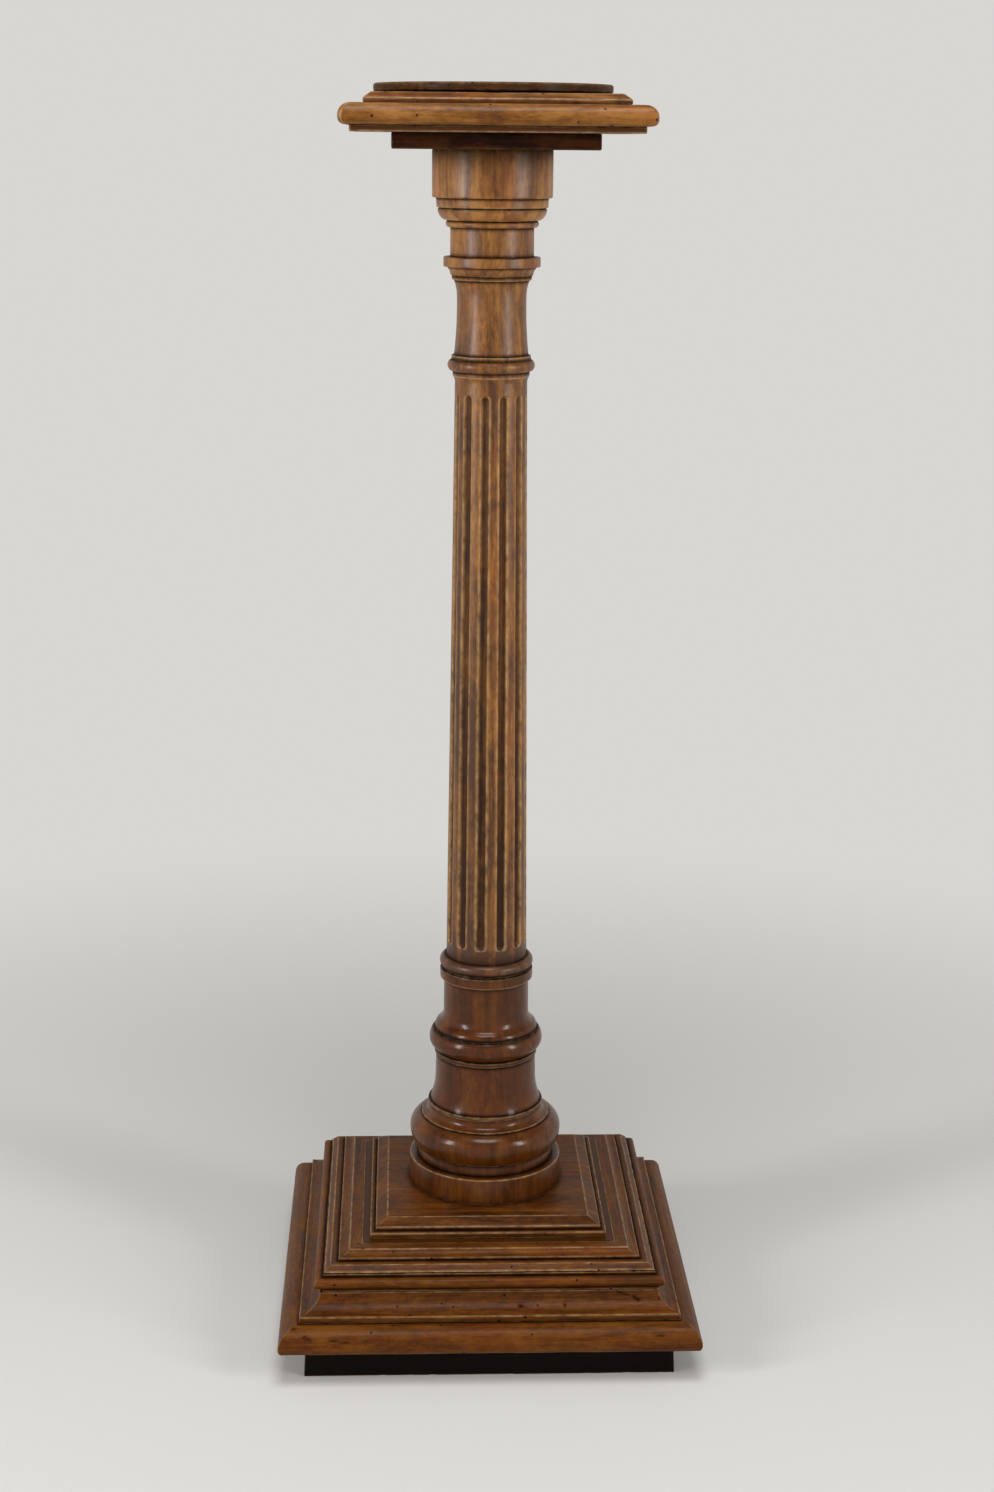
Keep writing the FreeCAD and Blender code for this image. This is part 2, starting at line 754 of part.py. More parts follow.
block_level = tops["cove_board"]
block = new_body("plinth_block", block_level)
block_foot = new_sketch(block, "XY_Plane", "foot")
draw_square(block_foot, size.block_half_width)
pad(block, block_foot, size.block_fillet_height)
block_bevel_level = size.block_fillet_height + size.block_riser_height
block_riser = new_sketch(block, "XY_Plane", "riser")
draw_square(block_riser, size.block_riser_half_width)
pad(block, block_riser, block_bevel_level)
bevelled_top(block, size.block_riser_half_width, block_bevel_level,
             size.block_top_half_width, size.block_height)
through_bore(block, tenon_bore_radius)
set_top(block, size.block_height)

# Screws from below hold the two lower boards to the third, and the upper two to the block.
screws("base_screws", BASE_SCREW, thumb_level, BOARD_SCREW_COUNT)
screw_holes(thumb_board, BASE_SCREW, NOUGHT, BOARD_SCREW_COUNT, "screw_holes")
screw_holes(cavetto_board, BASE_SCREW, -size.thumb_height, BOARD_SCREW_COUNT, "screw_holes")
screw_holes(nosing_board, BASE_SCREW, -(size.thumb_height + size.cavetto_height),
            BOARD_SCREW_COUNT, "screw_holes")
screws("block_screws", BLOCK_SCREW, nosing_level, BOARD_SCREW_COUNT)
screw_holes(nosing_board, BLOCK_SCREW, NOUGHT, BOARD_SCREW_COUNT, "block_screw_holes")
screw_holes(cove_board, BLOCK_SCREW, -size.nosing_height, BOARD_SCREW_COUNT, "screw_holes")
screw_holes(block, BLOCK_SCREW, -(size.nosing_height + size.cove_tier_height),
            BOARD_SCREW_COUNT, "screw_holes")


# ---------------------------------------------------------------------------------------------------
# Turned column
# ---------------------------------------------------------------------------------------------------
def turned_piece(label, level, corners, piece_turn=0.0):
    body = new_body(label, level, piece_turn)
    outline = new_sketch(body, "XZ_Plane", "outline")
    draw_outline(outline, corners)
    turn(body, outline)
    return body


def socket_corners(radius, length, mouth):
    """The corners of a socket, from its mouth down to its end on the centre line."""
    bore = radius + size.tenon_clearance
    end = mouth - (length + size.socket_end_gap)
    return [(bore, mouth), (bore, end), (NOUGHT, end)]


# The base's tenon runs down through the block and all four boards, and is wedged from below.
base_tenon_length = (size.block_height + size.cove_tier_height + size.nosing_height
                     + size.cavetto_height + size.thumb_height - size.base_tenon_end_gap)
base_members = climb(NOUGHT, [
    (size.disc_radius, NOUGHT),
    (size.disc_radius, size.disc_height),
    (size.band_radius, NOUGHT),
    (size.band_radius, size.band_height),
    (size.torus_foot_radius, NOUGHT, "upright last"),
    (size.torus_radius, size.torus_lower_height, "upright first"),
    (size.torus_top_radius, size.torus_upper_height),
    (size.torus_fillet_radius, NOUGHT),
    (size.torus_fillet_radius, size.torus_fillet_height),
    (size.scotia_foot_radius, NOUGHT, "level first"),
    (size.scotia_top_radius, size.scotia_height),
])
base_height = base_members[-1][1]
column_base = turned_piece("column_base", tops["plinth_block"], [
    (NOUGHT, -base_tenon_length),
    (size.base_tenon_radius, -base_tenon_length),
    (size.base_tenon_radius, NOUGHT),
    *base_members,
    *socket_corners(size.lower_tenon_radius, size.lower_tenon_length, base_height),
])
set_top(column_base, base_height)


def wedge_corners(clearance):
    """The wedge's section in the tenon's end: thick at the foot, thin at the head."""
    foot = size.wedge_foot_thickness * 0.5 - clearance
    head = size.wedge_head_thickness * 0.5 - clearance
    low = -base_tenon_length
    high = low + size.wedge_length - clearance
    return [(-foot, low), (foot, low), (head, high), (-head, high)]


kerf = new_sketch(column_base, "XZ_Plane", "kerf")
draw_outline(kerf, wedge_corners(NOUGHT))
pocket(column_base, kerf, both_ways=True, reverse=False)

wedge = new_body("tenon_wedge", tops["plinth_block"])
wedge_section = new_sketch(wedge, "XZ_Plane", "section")
draw_outline(wedge_section, wedge_corners(size.wedge_clearance))
pad(wedge, wedge_section, (size.base_tenon_radius - size.wedge_side_gap) * 2.0, both_ways=True)

lower_members = climb(NOUGHT, [
    (size.scotia_top_radius, NOUGHT),
    (size.scotia_top_radius, size.foot_fillet_height),
    (size.flare_radius, NOUGHT, "upright last"),
    (size.lower_drum_radius, size.flare_height),
    (size.lower_drum_top_radius, size.lower_drum_height),
    (size.girdle_radius, NOUGHT),
    (size.girdle_radius, size.girdle_height),
    (size.lower_drum_top_radius, NOUGHT),
    (size.lower_drum_top_radius, size.girdle_groove_height),
    (size.ring_foot_radius, NOUGHT, "upright last"),
    (size.ring_radius, size.ring_lower_height, "upright first"),
    (size.ring_top_radius, size.ring_upper_height),
    (size.ring_fillet_radius, NOUGHT),
    (size.ring_fillet_radius, size.ring_fillet_height),
    (size.roll_radius, NOUGHT, "upright first"),
    (size.roll_top_radius, size.roll_height, "upright last"),
    (size.upper_drum_radius, size.sweep_height),
    (size.upper_drum_top_radius, size.upper_drum_height),
    (size.shaft_fillet_radius, NOUGHT),
    (size.shaft_fillet_radius, size.shaft_fillet_height),
    (size.joint_groove_radius, NOUGHT),
    (size.joint_groove_radius, size.joint_groove_height),
])
lower_height = lower_members[-1][1]
lower_shaft = turned_piece("lower_shaft", tops["column_base"], [
    (NOUGHT, -size.lower_tenon_length),
    (size.lower_tenon_radius, -size.lower_tenon_length),
    (size.lower_tenon_radius, NOUGHT),
    *lower_members,
    *socket_corners(size.shaft_tenon_radius, size.shaft_tenon_length, lower_height),
])
set_top(lower_shaft, lower_height)

shaft_foot_members = climb(NOUGHT, [
    (size.joint_groove_radius, NOUGHT),
    (size.joint_groove_radius, size.joint_groove_height, "upright last"),
    (size.bead_radius, size.bead_lower_height, "upright first"),
    (size.bead_top_radius, size.bead_upper_height),
    (size.shaft_foot_radius, NOUGHT),
])
shaft_foot = shaft_foot_members[-1][1]
shaft_head = shaft_foot + size.shaft_height
shaft_members = climb(shaft_head, [
    (size.shaft_head_radius, NOUGHT, "upright first"),
    (size.collarin_radius, size.shaft_flare_height),
    (size.collarin_radius, size.collarin_height),
    (size.astragal_foot_radius, NOUGHT, "upright last"),
    (size.astragal_radius, size.astragal_height * 0.5, "upright first"),
    (size.astragal_foot_radius, size.astragal_height * 0.5),
    (size.neck_fillet_radius, NOUGHT),
    (size.neck_fillet_radius, size.neck_fillet_height),
    (size.neck_foot_radius, NOUGHT, "upright last"),
    (size.neck_radius, size.neck_sweep_height),
    (size.neck_radius, size.neck_height, "upright first"),
    (size.neck_head_radius, size.neck_flare_height),
    (size.capital_fillet_radius, NOUGHT),
    (size.capital_fillet_radius, size.capital_fillet_height),
    (size.capital_cavetto_radius, NOUGHT, "upright first"),
    (size.capital_cavetto_top_radius, size.capital_cavetto_height),
    (size.collar_radius - size.collar_round, NOUGHT, "upright last"),
    (size.collar_radius, size.collar_round),
    (size.collar_radius, size.collar_height - size.collar_round * 2.0, "upright first"),
    (size.collar_radius - size.collar_round, size.collar_round),
    (size.upper_neck_radius, NOUGHT),
    (size.upper_neck_radius, size.upper_neck_height),
    (size.capital_bead_root_radius, NOUGHT, "upright last"),
    (size.capital_bead_radius, size.capital_bead_height * 0.5, "upright first"),
    (size.capital_bead_root_radius, size.capital_bead_height * 0.5),
    (size.echinus_foot_radius, NOUGHT, "upright last"),
    (size.echinus_radius, size.echinus_height),
    (size.echinus_quirk_radius, NOUGHT),
    (size.echinus_quirk_radius, size.echinus_quirk_height),
    (size.necking_foot_radius, NOUGHT, "upright first"),
    (size.necking_top_radius, size.necking_height),
    (size.drum_radius - size.drum_round, NOUGHT, "upright last"),
    (size.drum_radius, size.drum_round),
    (size.drum_radius, size.drum_height - size.drum_round),
])
shaft_top = shaft_members[-1][1]
cap_tenon_length = size.abacus_height - size.cap_tenon_end_gap
fluted_shaft = turned_piece("fluted_shaft", tops["lower_shaft"], [
    (NOUGHT, -size.shaft_tenon_length),
    (size.shaft_tenon_radius, -size.shaft_tenon_length),
    (size.shaft_tenon_radius, NOUGHT),
    *shaft_foot_members,
    *shaft_members,
    (size.cap_tenon_radius, shaft_top),
    (size.cap_tenon_radius, shaft_top + cap_tenon_length),
    (NOUGHT, shaft_top + cap_tenon_length),
], SIZES["flute_turn"])
fluted_shaft.setExpression(".Placement.Rotation.Angle", size.flute_turn.formula)
set_top(fluted_shaft, shaft_top)


def shaft_radius(rise):
    """The tapering shaft's radius at a height above its foot."""
    taper = (size.shaft_foot_radius - size.shaft_head_radius) / size.shaft_height
    return size.shaft_foot_radius - taper * rise


# A flute is a long round-ended channel that narrows with the shaft. Its centre line follows the taper.
flute_low = size.flute_start
flute_high = size.shaft_height - size.flute_end
flute_low_x = shaft_radius(flute_low) + size.flute_stand_off
flute_high_x = shaft_radius(flute_high) + size.flute_stand_off
flute = new_sketch(fluted_shaft, "XZ_Plane", "flute")
flute_tips = [(flute_low_x, shaft_foot + flute_low),
              (flute_high_x, shaft_foot + flute_high)]
draw_outline(flute, [
    (*flute_tips[0], "level first"),
    (flute_low_x + size.flute_foot_radius, shaft_foot + flute_low + size.flute_foot_radius),
    (flute_high_x + size.flute_head_radius, shaft_foot + flute_high - size.flute_head_radius,
     "upright first"),
    flute_tips[1],
])
flute_axis = flute.addGeometry(Part.LineSegment(point(*flute_tips[0]), point(*flute_tips[1])), True)
pin(flute, (flute_axis, 1), *flute_tips[0])
pin(flute, (flute_axis, 2), *flute_tips[1])
ring_of(fluted_shaft, turn(fluted_shaft, flute, axis="Axis0", cut=True), size.flute_count)


# ---------------------------------------------------------------------------------------------------
# Square cap
# ---------------------------------------------------------------------------------------------------
bush_radius = size.pivot_radius + size.pivot_clearance + size.bush_wall

abacus_level = tops["fluted_shaft"]
abacus = board("abacus_block", size.abacus_half_width, size.abacus_height, abacus_level)
through_bore(abacus, size.cap_tenon_radius + size.tenon_clearance)

under_board = board("under_board", size.under_board_half_width, size.under_board_height,
                    tops["abacus_block"])
through_bore(under_board, size.nut_recess_radius)

slab = new_body("cap_slab", tops["under_board"])
slab_outline = new_sketch(slab, "XY_Plane", "outline")
draw_square(slab_outline, size.slab_half_width)
slab_pad = pad(slab, slab_outline, size.slab_height)
slab_top_edge = round_edges(slab, slab_pad, size.slab_top_round, size.slab_height, "top_round")
round_edges(slab, slab_top_edge, size.slab_under_round, NOUGHT, "under_round")
through_bore(slab, bush_radius)
set_top(slab, size.slab_height)

step = new_body("cap_step", tops["cap_slab"])
step_outline = new_sketch(step, "XY_Plane", "outline")
draw_square(step_outline, size.step_half_width)
step_bevel_level = size.step_height - size.step_bevel_height
pad(step, step_outline, step_bevel_level)
bevelled_top(step, size.step_half_width, step_bevel_level, size.step_top_half_width,
             size.step_height)
through_bore(step, bush_radius)
set_top(step, size.step_height)

# Screws through the abacus and the under board hold the slab, hidden by the capital's drum.
screws("cap_screws", CAP_SCREW, abacus_level, BOARD_SCREW_COUNT)
screw_holes(abacus, CAP_SCREW, NOUGHT, BOARD_SCREW_COUNT, "screw_holes")
screw_holes(under_board, CAP_SCREW, -size.abacus_height, BOARD_SCREW_COUNT, "screw_holes")
screw_holes(slab, CAP_SCREW, -(size.abacus_height + size.under_board_height),
            BOARD_SCREW_COUNT, "screw_holes")


# ---------------------------------------------------------------------------------------------------
# Turning top
# ---------------------------------------------------------------------------------------------------
top_level = tops["cap_step"] + size.top_gap
flange_recess_radius = size.flange_radius + size.flange_clearance
turning_top = turned_piece("turning_top", top_level, [
    (flange_recess_radius, NOUGHT),
    (size.top_radius - size.top_round, NOUGHT, "upright last"),
    (size.top_radius, size.top_round),
    (size.top_radius, size.top_thickness - size.top_round, "upright first"),
    (size.top_radius - size.top_round, size.top_thickness),
    (NOUGHT, size.top_thickness),
    (NOUGHT, size.flange_thickness),
    (flange_recess_radius, size.flange_thickness),
])
set_top(turning_top, size.top_thickness)
screw_holes(turning_top, TOP_SCREW, NOUGHT, TOP_SCREW_COUNT, "screw_holes")

# The pivot's flange fills the recess, and its stem ends just above the abacus.
stem_length = size.top_gap + size.step_height + size.slab_height + size.under_board_height \
    - size.nut_end_gap
pivot = turned_piece("pivot_pin", top_level, [
    (NOUGHT, -stem_length),
    (size.pivot_radius, -stem_length),
    (size.pivot_radius, NOUGHT),
    (size.flange_radius, NOUGHT),
    (size.flange_radius, size.flange_thickness),
    (NOUGHT, size.flange_thickness),
])
screw_holes(pivot, TOP_SCREW, NOUGHT, TOP_SCREW_COUNT, "screw_holes")
screws("top_screws", TOP_SCREW, top_level, TOP_SCREW_COUNT)

pivot_bore_radius = size.pivot_radius + size.pivot_clearance
bush_height = size.slab_height + size.step_height
turned_piece("pivot_bush", tops["under_board"], [
    (pivot_bore_radius, NOUGHT),
    (bush_radius, NOUGHT),
    (bush_radius, bush_height),
    (pivot_bore_radius, bush_height),
])

bearing_thickness = size.top_gap - size.bearing_clearance
turned_piece("bearing_washer", tops["cap_step"], [
    (size.bearing_inner_radius, NOUGHT),
    (size.bearing_outer_radius, NOUGHT),
    (size.bearing_outer_radius, bearing_thickness),
    (size.bearing_inner_radius, bearing_thickness),
])

# The washer and nut hang on the stem in the under board's bore and turn with the pivot.
washer_level = tops["under_board"] - (size.bearing_clearance + size.nut_washer_thickness)
turned_piece("nut_washer", washer_level, [
    (size.pivot_radius, NOUGHT),
    (size.nut_washer_radius, NOUGHT),
    (size.nut_washer_radius, size.nut_washer_thickness),
    (size.pivot_radius, size.nut_washer_thickness),
])

HEXAGON_SIDES = 6
nut = new_body("pivot_nut", washer_level - size.nut_thickness)
nut_outline = new_sketch(nut, "XY_Plane", "outline")
half_flats = size.nut_width_across_flats * 0.5
half_side = half_flats * math.tan(math.pi / HEXAGON_SIDES)
half_corners = half_side * 2.0
draw_outline(nut_outline, [
    (half_corners, NOUGHT),
    (half_side, half_flats),
    (-half_side, half_flats),
    (-half_corners, NOUGHT),
    (-half_side, -half_flats),
    (half_side, -half_flats),
])
pad(nut, nut_outline, size.nut_thickness)
through_bore(nut, size.pivot_radius)


# ---------------------------------------------------------------------------------------------------
# Checks and files
# ---------------------------------------------------------------------------------------------------
doc.recompute()
for item in doc.Objects:
    if {"Invalid", "Error"} & set(item.State):
        raise RuntimeError(f"{item.Name} failed: {item.State}")
for item in parts:
    if item.Shape.isNull() or not item.Shape.isValid() or not item.Shape.Solids:
        raise RuntimeError(f"{item.Label} has no sound solid")

os.makedirs("parts", exist_ok=True)
for item in parts:
    item.Shape.exportStep(f"parts/{item.Label}.step")
    print(f"{item.Label}: {len(item.Shape.Solids)} solid(s), {item.Shape.Volume / 1000:.1f} cm3")
print(f"overall height {tops['turning_top'].number:.1f} mm, {len(parts)} parts")
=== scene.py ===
import math

import bmesh
import bpy
import numpy as np
from mathutils import Matrix, Vector


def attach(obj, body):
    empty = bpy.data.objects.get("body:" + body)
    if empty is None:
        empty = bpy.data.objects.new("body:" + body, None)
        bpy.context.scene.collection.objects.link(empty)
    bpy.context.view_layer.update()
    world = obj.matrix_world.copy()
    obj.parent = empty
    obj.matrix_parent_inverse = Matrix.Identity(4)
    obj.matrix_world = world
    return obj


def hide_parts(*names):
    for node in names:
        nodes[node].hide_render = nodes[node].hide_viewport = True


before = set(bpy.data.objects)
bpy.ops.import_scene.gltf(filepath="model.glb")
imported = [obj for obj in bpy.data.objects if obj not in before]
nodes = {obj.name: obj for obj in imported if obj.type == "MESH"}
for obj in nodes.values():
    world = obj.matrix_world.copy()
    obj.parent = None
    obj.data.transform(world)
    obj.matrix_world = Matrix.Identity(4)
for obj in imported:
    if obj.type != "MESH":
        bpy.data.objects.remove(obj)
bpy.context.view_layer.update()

# An old waxed walnut pedestal column. The pieces of its outside, apart from the board inside the top
# moulding of the base, are rebuilt over their CAD nodes as even grids that follow each node's own section,
# so that arrises can be worn, surfaces dented, and the grain run the way each timber was cut. Lengths are
# in millimetres until a mesh is made.
MM = 0.001
rng = np.random.default_rng(7)

# ---------------------------------------------------------------------------------------------------
# Sections read from the CAD nodes
# ---------------------------------------------------------------------------------------------------
# Points of a node's mesh that lie closer together than this are one, in metres.
WELD = 2e-6
# A turn below this, in radians, is no turn, and one above the second is a corner. What lies between
# belongs to a curve, whose neighbouring chords differ in length by less than a factor.
NO_TURN = 2e-4
CORNER_TURN = math.radians(25.5)
ALIKE = 2.5
# How far from a corner an outline gets extra points, so that the wear there stays narrow, and the share
# of a chord that they may take.
CORNER_GUARDS = (1.0, 1.7)
GUARD_SHARE = 0.4


def section(node, turn=0.0, offset=0.0, keep=None):
    """The outline that the upright half-plane towards an azimuth cuts from a node, as (out, up) points
    with the wood on their left, and whether it is closed. The plane may stand off the centre line. An
    outline that meets the centre line is open and starts and ends there."""
    mesh = bmesh.new()
    mesh.from_mesh(nodes[node].data)
    bmesh.ops.remove_doubles(mesh, verts=mesh.verts, dist=WELD)
    bmesh.ops.rotate(mesh, verts=mesh.verts, cent=(0, 0, 0),
                     matrix=Matrix.Rotation(-math.radians(turn), 3, "Z"))
    cut = bmesh.ops.bisect_plane(mesh, geom=mesh.verts[:] + mesh.edges[:] + mesh.faces[:],
                                 plane_co=(0, offset * MM, 0), plane_no=(0, 1, 0), dist=WELD)
    links = {}
    for edge in cut["geom_cut"]:
        if isinstance(edge, bmesh.types.BMEdge) and min(v.co.x for v in edge.verts) > -WELD:
            ends = [(round(v.co.x / MM, 4), round(v.co.z / MM, 4)) for v in edge.verts]
            links.setdefault(ends[0], []).append(ends[1])
            links.setdefault(ends[1], []).append(ends[0])
    mesh.free()
    loose = sorted((at for at, near in links.items() if len(near) == 1), key=lambda at: at[1])
    start = loose[0] if loose else max(links)
    chain, last = [start], None
    while True:
        onward = [at for at in links[chain[-1]] if at != last]
        if not onward or onward[0] == start:
            break
        last = chain[-1]
        chain.append(onward[0])
    if loose:
        chain = [(0.0, chain[0][1]), *chain, (0.0, chain[-1][1])]
    points = np.array([at for at in chain if keep is None or keep(*at)])
    x, y = points.T
    if np.sum(x * np.roll(y, -1) - np.roll(x, -1) * y) < 0:
        points = points[::-1]
    return points, not loose


def straight(points, closed):
    """Drops points that lie on the line between their neighbours."""
    while True:
        before, after = np.roll(points, 1, 0), np.roll(points, -1, 0)
        a, b = points - before, after - points
        cross = np.abs(a[:, 0] * b[:, 1] - a[:, 1] * b[:, 0])
        lengths = np.maximum(np.hypot(*a.T) * np.hypot(*b.T), 1e-12)
        flat = (cross / lengths < NO_TURN) & (np.sum(a * b, 1) > 0)
        if not closed:
            flat[[0, -1]] = False
        if not flat.any():
            return points
        points = np.delete(points, np.flatnonzero(flat)[0], 0)


def smooth_runs(points, closed, step):
    """Samples an outline finely. Runs of short chords become curves, and long chords stay straight.
    Returns the points and, at each, how sharply it turns: + for an arris, - for an inner corner."""
    count = len(points)
    spans = count if closed else count - 1
    chords = np.roll(points, -1, 0) - points
    lengths = np.hypot(*chords.T)
    headings = np.arctan2(chords[:, 1], chords[:, 0])
    turns = (headings - np.roll(headings, 1) + math.pi) % (2 * math.pi) - math.pi
    if not closed:
        turns[0] = turns[-1] = math.pi / 2
    corner = np.abs(turns) > CORNER_TURN

    def alike(i, j):
        return lengths[i] < ALIKE * lengths[j] and lengths[j] < ALIKE * lengths[i]

    def leaving(i):
        """The heading with which the curve leaves a point."""
        if not corner[i]:
            before = lengths[i - 1]
            if lengths[i] > ALIKE * before:
                return headings[i]
            if before > ALIKE * lengths[i]:
                return headings[i - 1]
            return headings[i] - turns[i] / 2
        following = (i + 1) % count
        if not corner[following] and alike(following, i):
            return headings[i] - turns[following] / 2
        return headings[i]

    def arriving(i):
        """The heading with which the curve arrives at a point."""
        if not corner[i]:
            return leaving(i)
        last = (i - 1) % count
        if not corner[last] and alike(last, last - 1):
            return headings[last] + turns[last] / 2
        return headings[last]

    samples, sharp = [], []
    for i in range(spans):
        j = (i + 1) % count
        pieces = max(1, int(math.ceil(lengths[i] / step)))
        guards = [gap / lengths[i] for gap in CORNER_GUARDS if gap < GUARD_SHARE * lengths[i]]
        t = np.unique(np.concatenate([np.arange(pieces) / pieces, guards if corner[i] else [],
                                      [1 - share for share in guards] if corner[j] else []]))
        leave = np.array([math.cos(leaving(i)), math.sin(leaving(i))]) * lengths[i]
        arrive = np.array([math.cos(arriving(j)), math.sin(arriving(j))]) * lengths[i]
        weights = [2 * t**3 - 3 * t**2 + 1, t**3 - 2 * t**2 + t, -2 * t**3 + 3 * t**2, t**3 - t**2]
        ends = (points[i], leave, points[j], arrive)
        samples.append(sum(np.outer(weight, end) for weight, end in zip(weights, ends)))
        sharp.append(np.concatenate([[turns[i] if corner[i] else 0.0], np.zeros(len(t) - 1)]))
    if not closed:
        samples.append(points[-1:])
        sharp.append([0.0])
        sharp[0][0] = 0.0
    return np.concatenate(samples), np.concatenate(sharp)


def along(points, closed):
    """Arc length at each point, and the whole length."""
    steps = np.hypot(*(np.roll(points, -1, 0) - points).T)
    if not closed:
        steps = steps[:-1]
    return np.concatenate([[0.0], np.cumsum(steps)])[:len(points)], steps.sum()


# The radius of an inner corner. An eased corner takes at most a share of the way to the next corner, and
# no turn is taken to be sharper than this, in radians.
HOLLOW = 0.4
EASED_SHARE = 0.42
SHARPEST_TURN = 2.4


def ease(points, sharp, closed, arris):
    """Rounds every sharp point. Returns the points, and marks on those of arrises and inner corners."""
    at, whole = along(points, closed)
    corners = np.flatnonzero(sharp)
    places = at[corners]
    rounded, edge, grime = [], [], []

    def where(distance):
        """The point that lies a distance along the outline."""
        if closed:
            distance %= whole
            x = np.append(at, whole)
            grid = np.vstack([points, points[:1]])
        else:
            x, grid = at, points
        return np.array([np.interp(distance, x, grid[:, k]) for k in (0, 1)])

    reach = {}
    for number, index in enumerate(corners):
        gaps = []
        for other in (number - 1, (number + 1) % len(corners)):
            if len(corners) > 1:
                gap = abs(places[number] - places[other])
                gaps.append(min(gap, whole - gap) if closed else gap)
        radius = arris if sharp[index] > 0 else HOLLOW
        back = radius * math.tan(min(abs(sharp[index]), SHARPEST_TURN) / 2)
        reach[index] = min([back, *(EASED_SHARE * gap for gap in gaps if gap > 0)])
    covered = np.zeros(len(points), bool)
    for index, back in reach.items():
        gap = np.abs(at - at[index])
        if closed:
            gap = np.minimum(gap, whole - gap)
        covered |= gap < back * 1.02
    for index in range(len(points)):
        if index in reach:
            back = reach[index]
            first, last = where(at[index] - back), where(at[index] + back)
            for t in (0.0, 0.25, 0.5, 0.75, 1.0):
                rounded.append(first * (1 - t)**2 + points[index] * 2 * t * (1 - t) + last * t**2)
                edge.append(1.0 if sharp[index] > 0 else 0.0)
                grime.append(1.0 if sharp[index] < 0 else 0.0)
        elif not covered[index]:
            rounded.append(points[index])
            edge.append(0.0)
            grime.append(0.0)
    return np.array(rounded), np.array(edge), np.array(grime)


def spread(values, at, whole, closed, reach):
    """Lets a mark at some points fade out along the outline."""
    gap = np.abs(at[:, None] - at[None, :])
    if closed:
        gap = np.minimum(gap, whole - gap)
    return np.max(values[None, :] * np.exp(-(gap / reach)**2), axis=1)


# Sections of the rebuilt pieces stand as walls that shelter each other's surfaces, and the shelter is painted
# into the colour as shade. A wall counts up to this far away, in directions that fan out from the surface's
# normal.
walls = []
SHELTER_REACH = 16.0
SHELTER_RAYS = np.radians(np.linspace(-78, 78, 13))
RAY_START = 0.2


def add_walls(points, closed):
    after = np.roll(points, -1, 0)
    ends = np.stack([points, after], 1)
    walls.append(ends if closed else ends[:-1])


def shelter(points, normals):
    """How far each point of an outline is shut in by its surroundings, from 0 to 1."""
    ends = np.concatenate(walls)
    first, run = ends[:, 0], ends[:, 1] - ends[:, 0]
    shut, weights = np.zeros(len(points)), 0.0
    start = points + normals * RAY_START
    for angle in SHELTER_RAYS:
        way = np.stack([normals[:, 0] * math.cos(angle) - normals[:, 1] * math.sin(angle),
                        normals[:, 0] * math.sin(angle) + normals[:, 1] * math.cos(angle)], 1)
        cross = way[:, None, 0] * run[None, :, 1] - way[:, None, 1] * run[None, :, 0]
        cross = np.where(np.abs(cross) < 1e-9, 1e-9, cross)
        gap = first[None] - start[:, None]
        distance = (gap[..., 0] * run[None, :, 1] - gap[..., 1] * run[None, :, 0]) / cross
        share = (gap[..., 0] * way[:, None, 1] - gap[..., 1] * way[:, None, 0]) / cross
        hit = (share >= 0) & (share <= 1) & (distance > 0)
        nearest = np.where(hit, distance, SHELTER_REACH).min(1)
        shut += math.cos(angle) * (1 - np.clip(nearest / SHELTER_REACH, 0, 1))
        weights += math.cos(angle)
    return shut / weights


# How far wear reaches from an arris, and dirt and painted shade from an inner corner. Dirt and painted
# shade also lie where the shelter is above the first share, and are full where it is the second share
# above that.
WEAR_REACH = 0.55
DIRT_AND_SHADE_REACH = 2.0
UNSHADED_SHELTER, SHADE_AND_DIRT_RANGE = 0.12, 0.46


class Outline:
    """A section ready for sweeping: points, outward normals, wear on arrises, and dirt and painted shade in
    hollows.
    """

    def __init__(self, points, closed, step, arris):
        fine, sharp = smooth_runs(straight(points, closed), closed, step)
        self.points, edge, grime = ease(fine, sharp, closed, arris)
        self.closed = closed
        at, whole = along(self.points, closed)
        self.edge = spread(edge, at, whole, closed, WEAR_REACH)
        if closed:
            run = np.roll(self.points, -1, 0) - np.roll(self.points, 1, 0)
        else:
            run = np.gradient(self.points, axis=0)
        run /= np.maximum(np.hypot(*run.T), 1e-9)[:, None]
        self.normals = np.stack([run[:, 1], -run[:, 0]], 1)
        # Painted shade: points that the walls around them shut in are darkened as shade would darken them,
        # and inner corners add dirt and painted shade.
        hidden = np.clip((shelter(self.points, self.normals) - UNSHADED_SHELTER) / SHADE_AND_DIRT_RANGE, 0, 1)
        self.grime = np.maximum(hidden, spread(grime, at, whole, closed, DIRT_AND_SHADE_REACH))


# ---------------------------------------------------------------------------------------------------
# Surface noise, dents and meshes
# ---------------------------------------------------------------------------------------------------
# Traces of hand work and use: spans and depths of long and short waves, and how far the arrises are
# rubbed down and nicked. A nick is where its noise is above a level.
LONG_WAVE, LONG_DEPTH = 70.0, 0.10
SHORT_WAVE, SHORT_DEPTH = 17.0, 0.045
RUB_SPAN, LEAST_RUB, RUB_SWING = 26.0, 0.10, 0.16
NICK_SPAN, NICK_LEVEL, NICK_DEPTH = 7.0, 0.45, 1.3
# Each piece is cut from its own place in an endless plank, at most this far from the middle.
PLANK_REACH = 900
# Vertices of a finished piece that lie closer together than this are one, in metres.
PIECE_WELD = 1e-6


def lattice(x, y, z, seed):
    """A repeatable number from -1 to 1 for each whole point of a lattice."""
    h = (x * 374761393 + y * 668265263 + z * 2147483647 + seed * 1274126177) & 0xFFFFFFFF
    h = ((h ^ (h >> 13)) * 1274126177) & 0xFFFFFFFF
    h = (h ^ (h >> 16)) & 0xFFFF
    return h / 32767.5 - 1.0


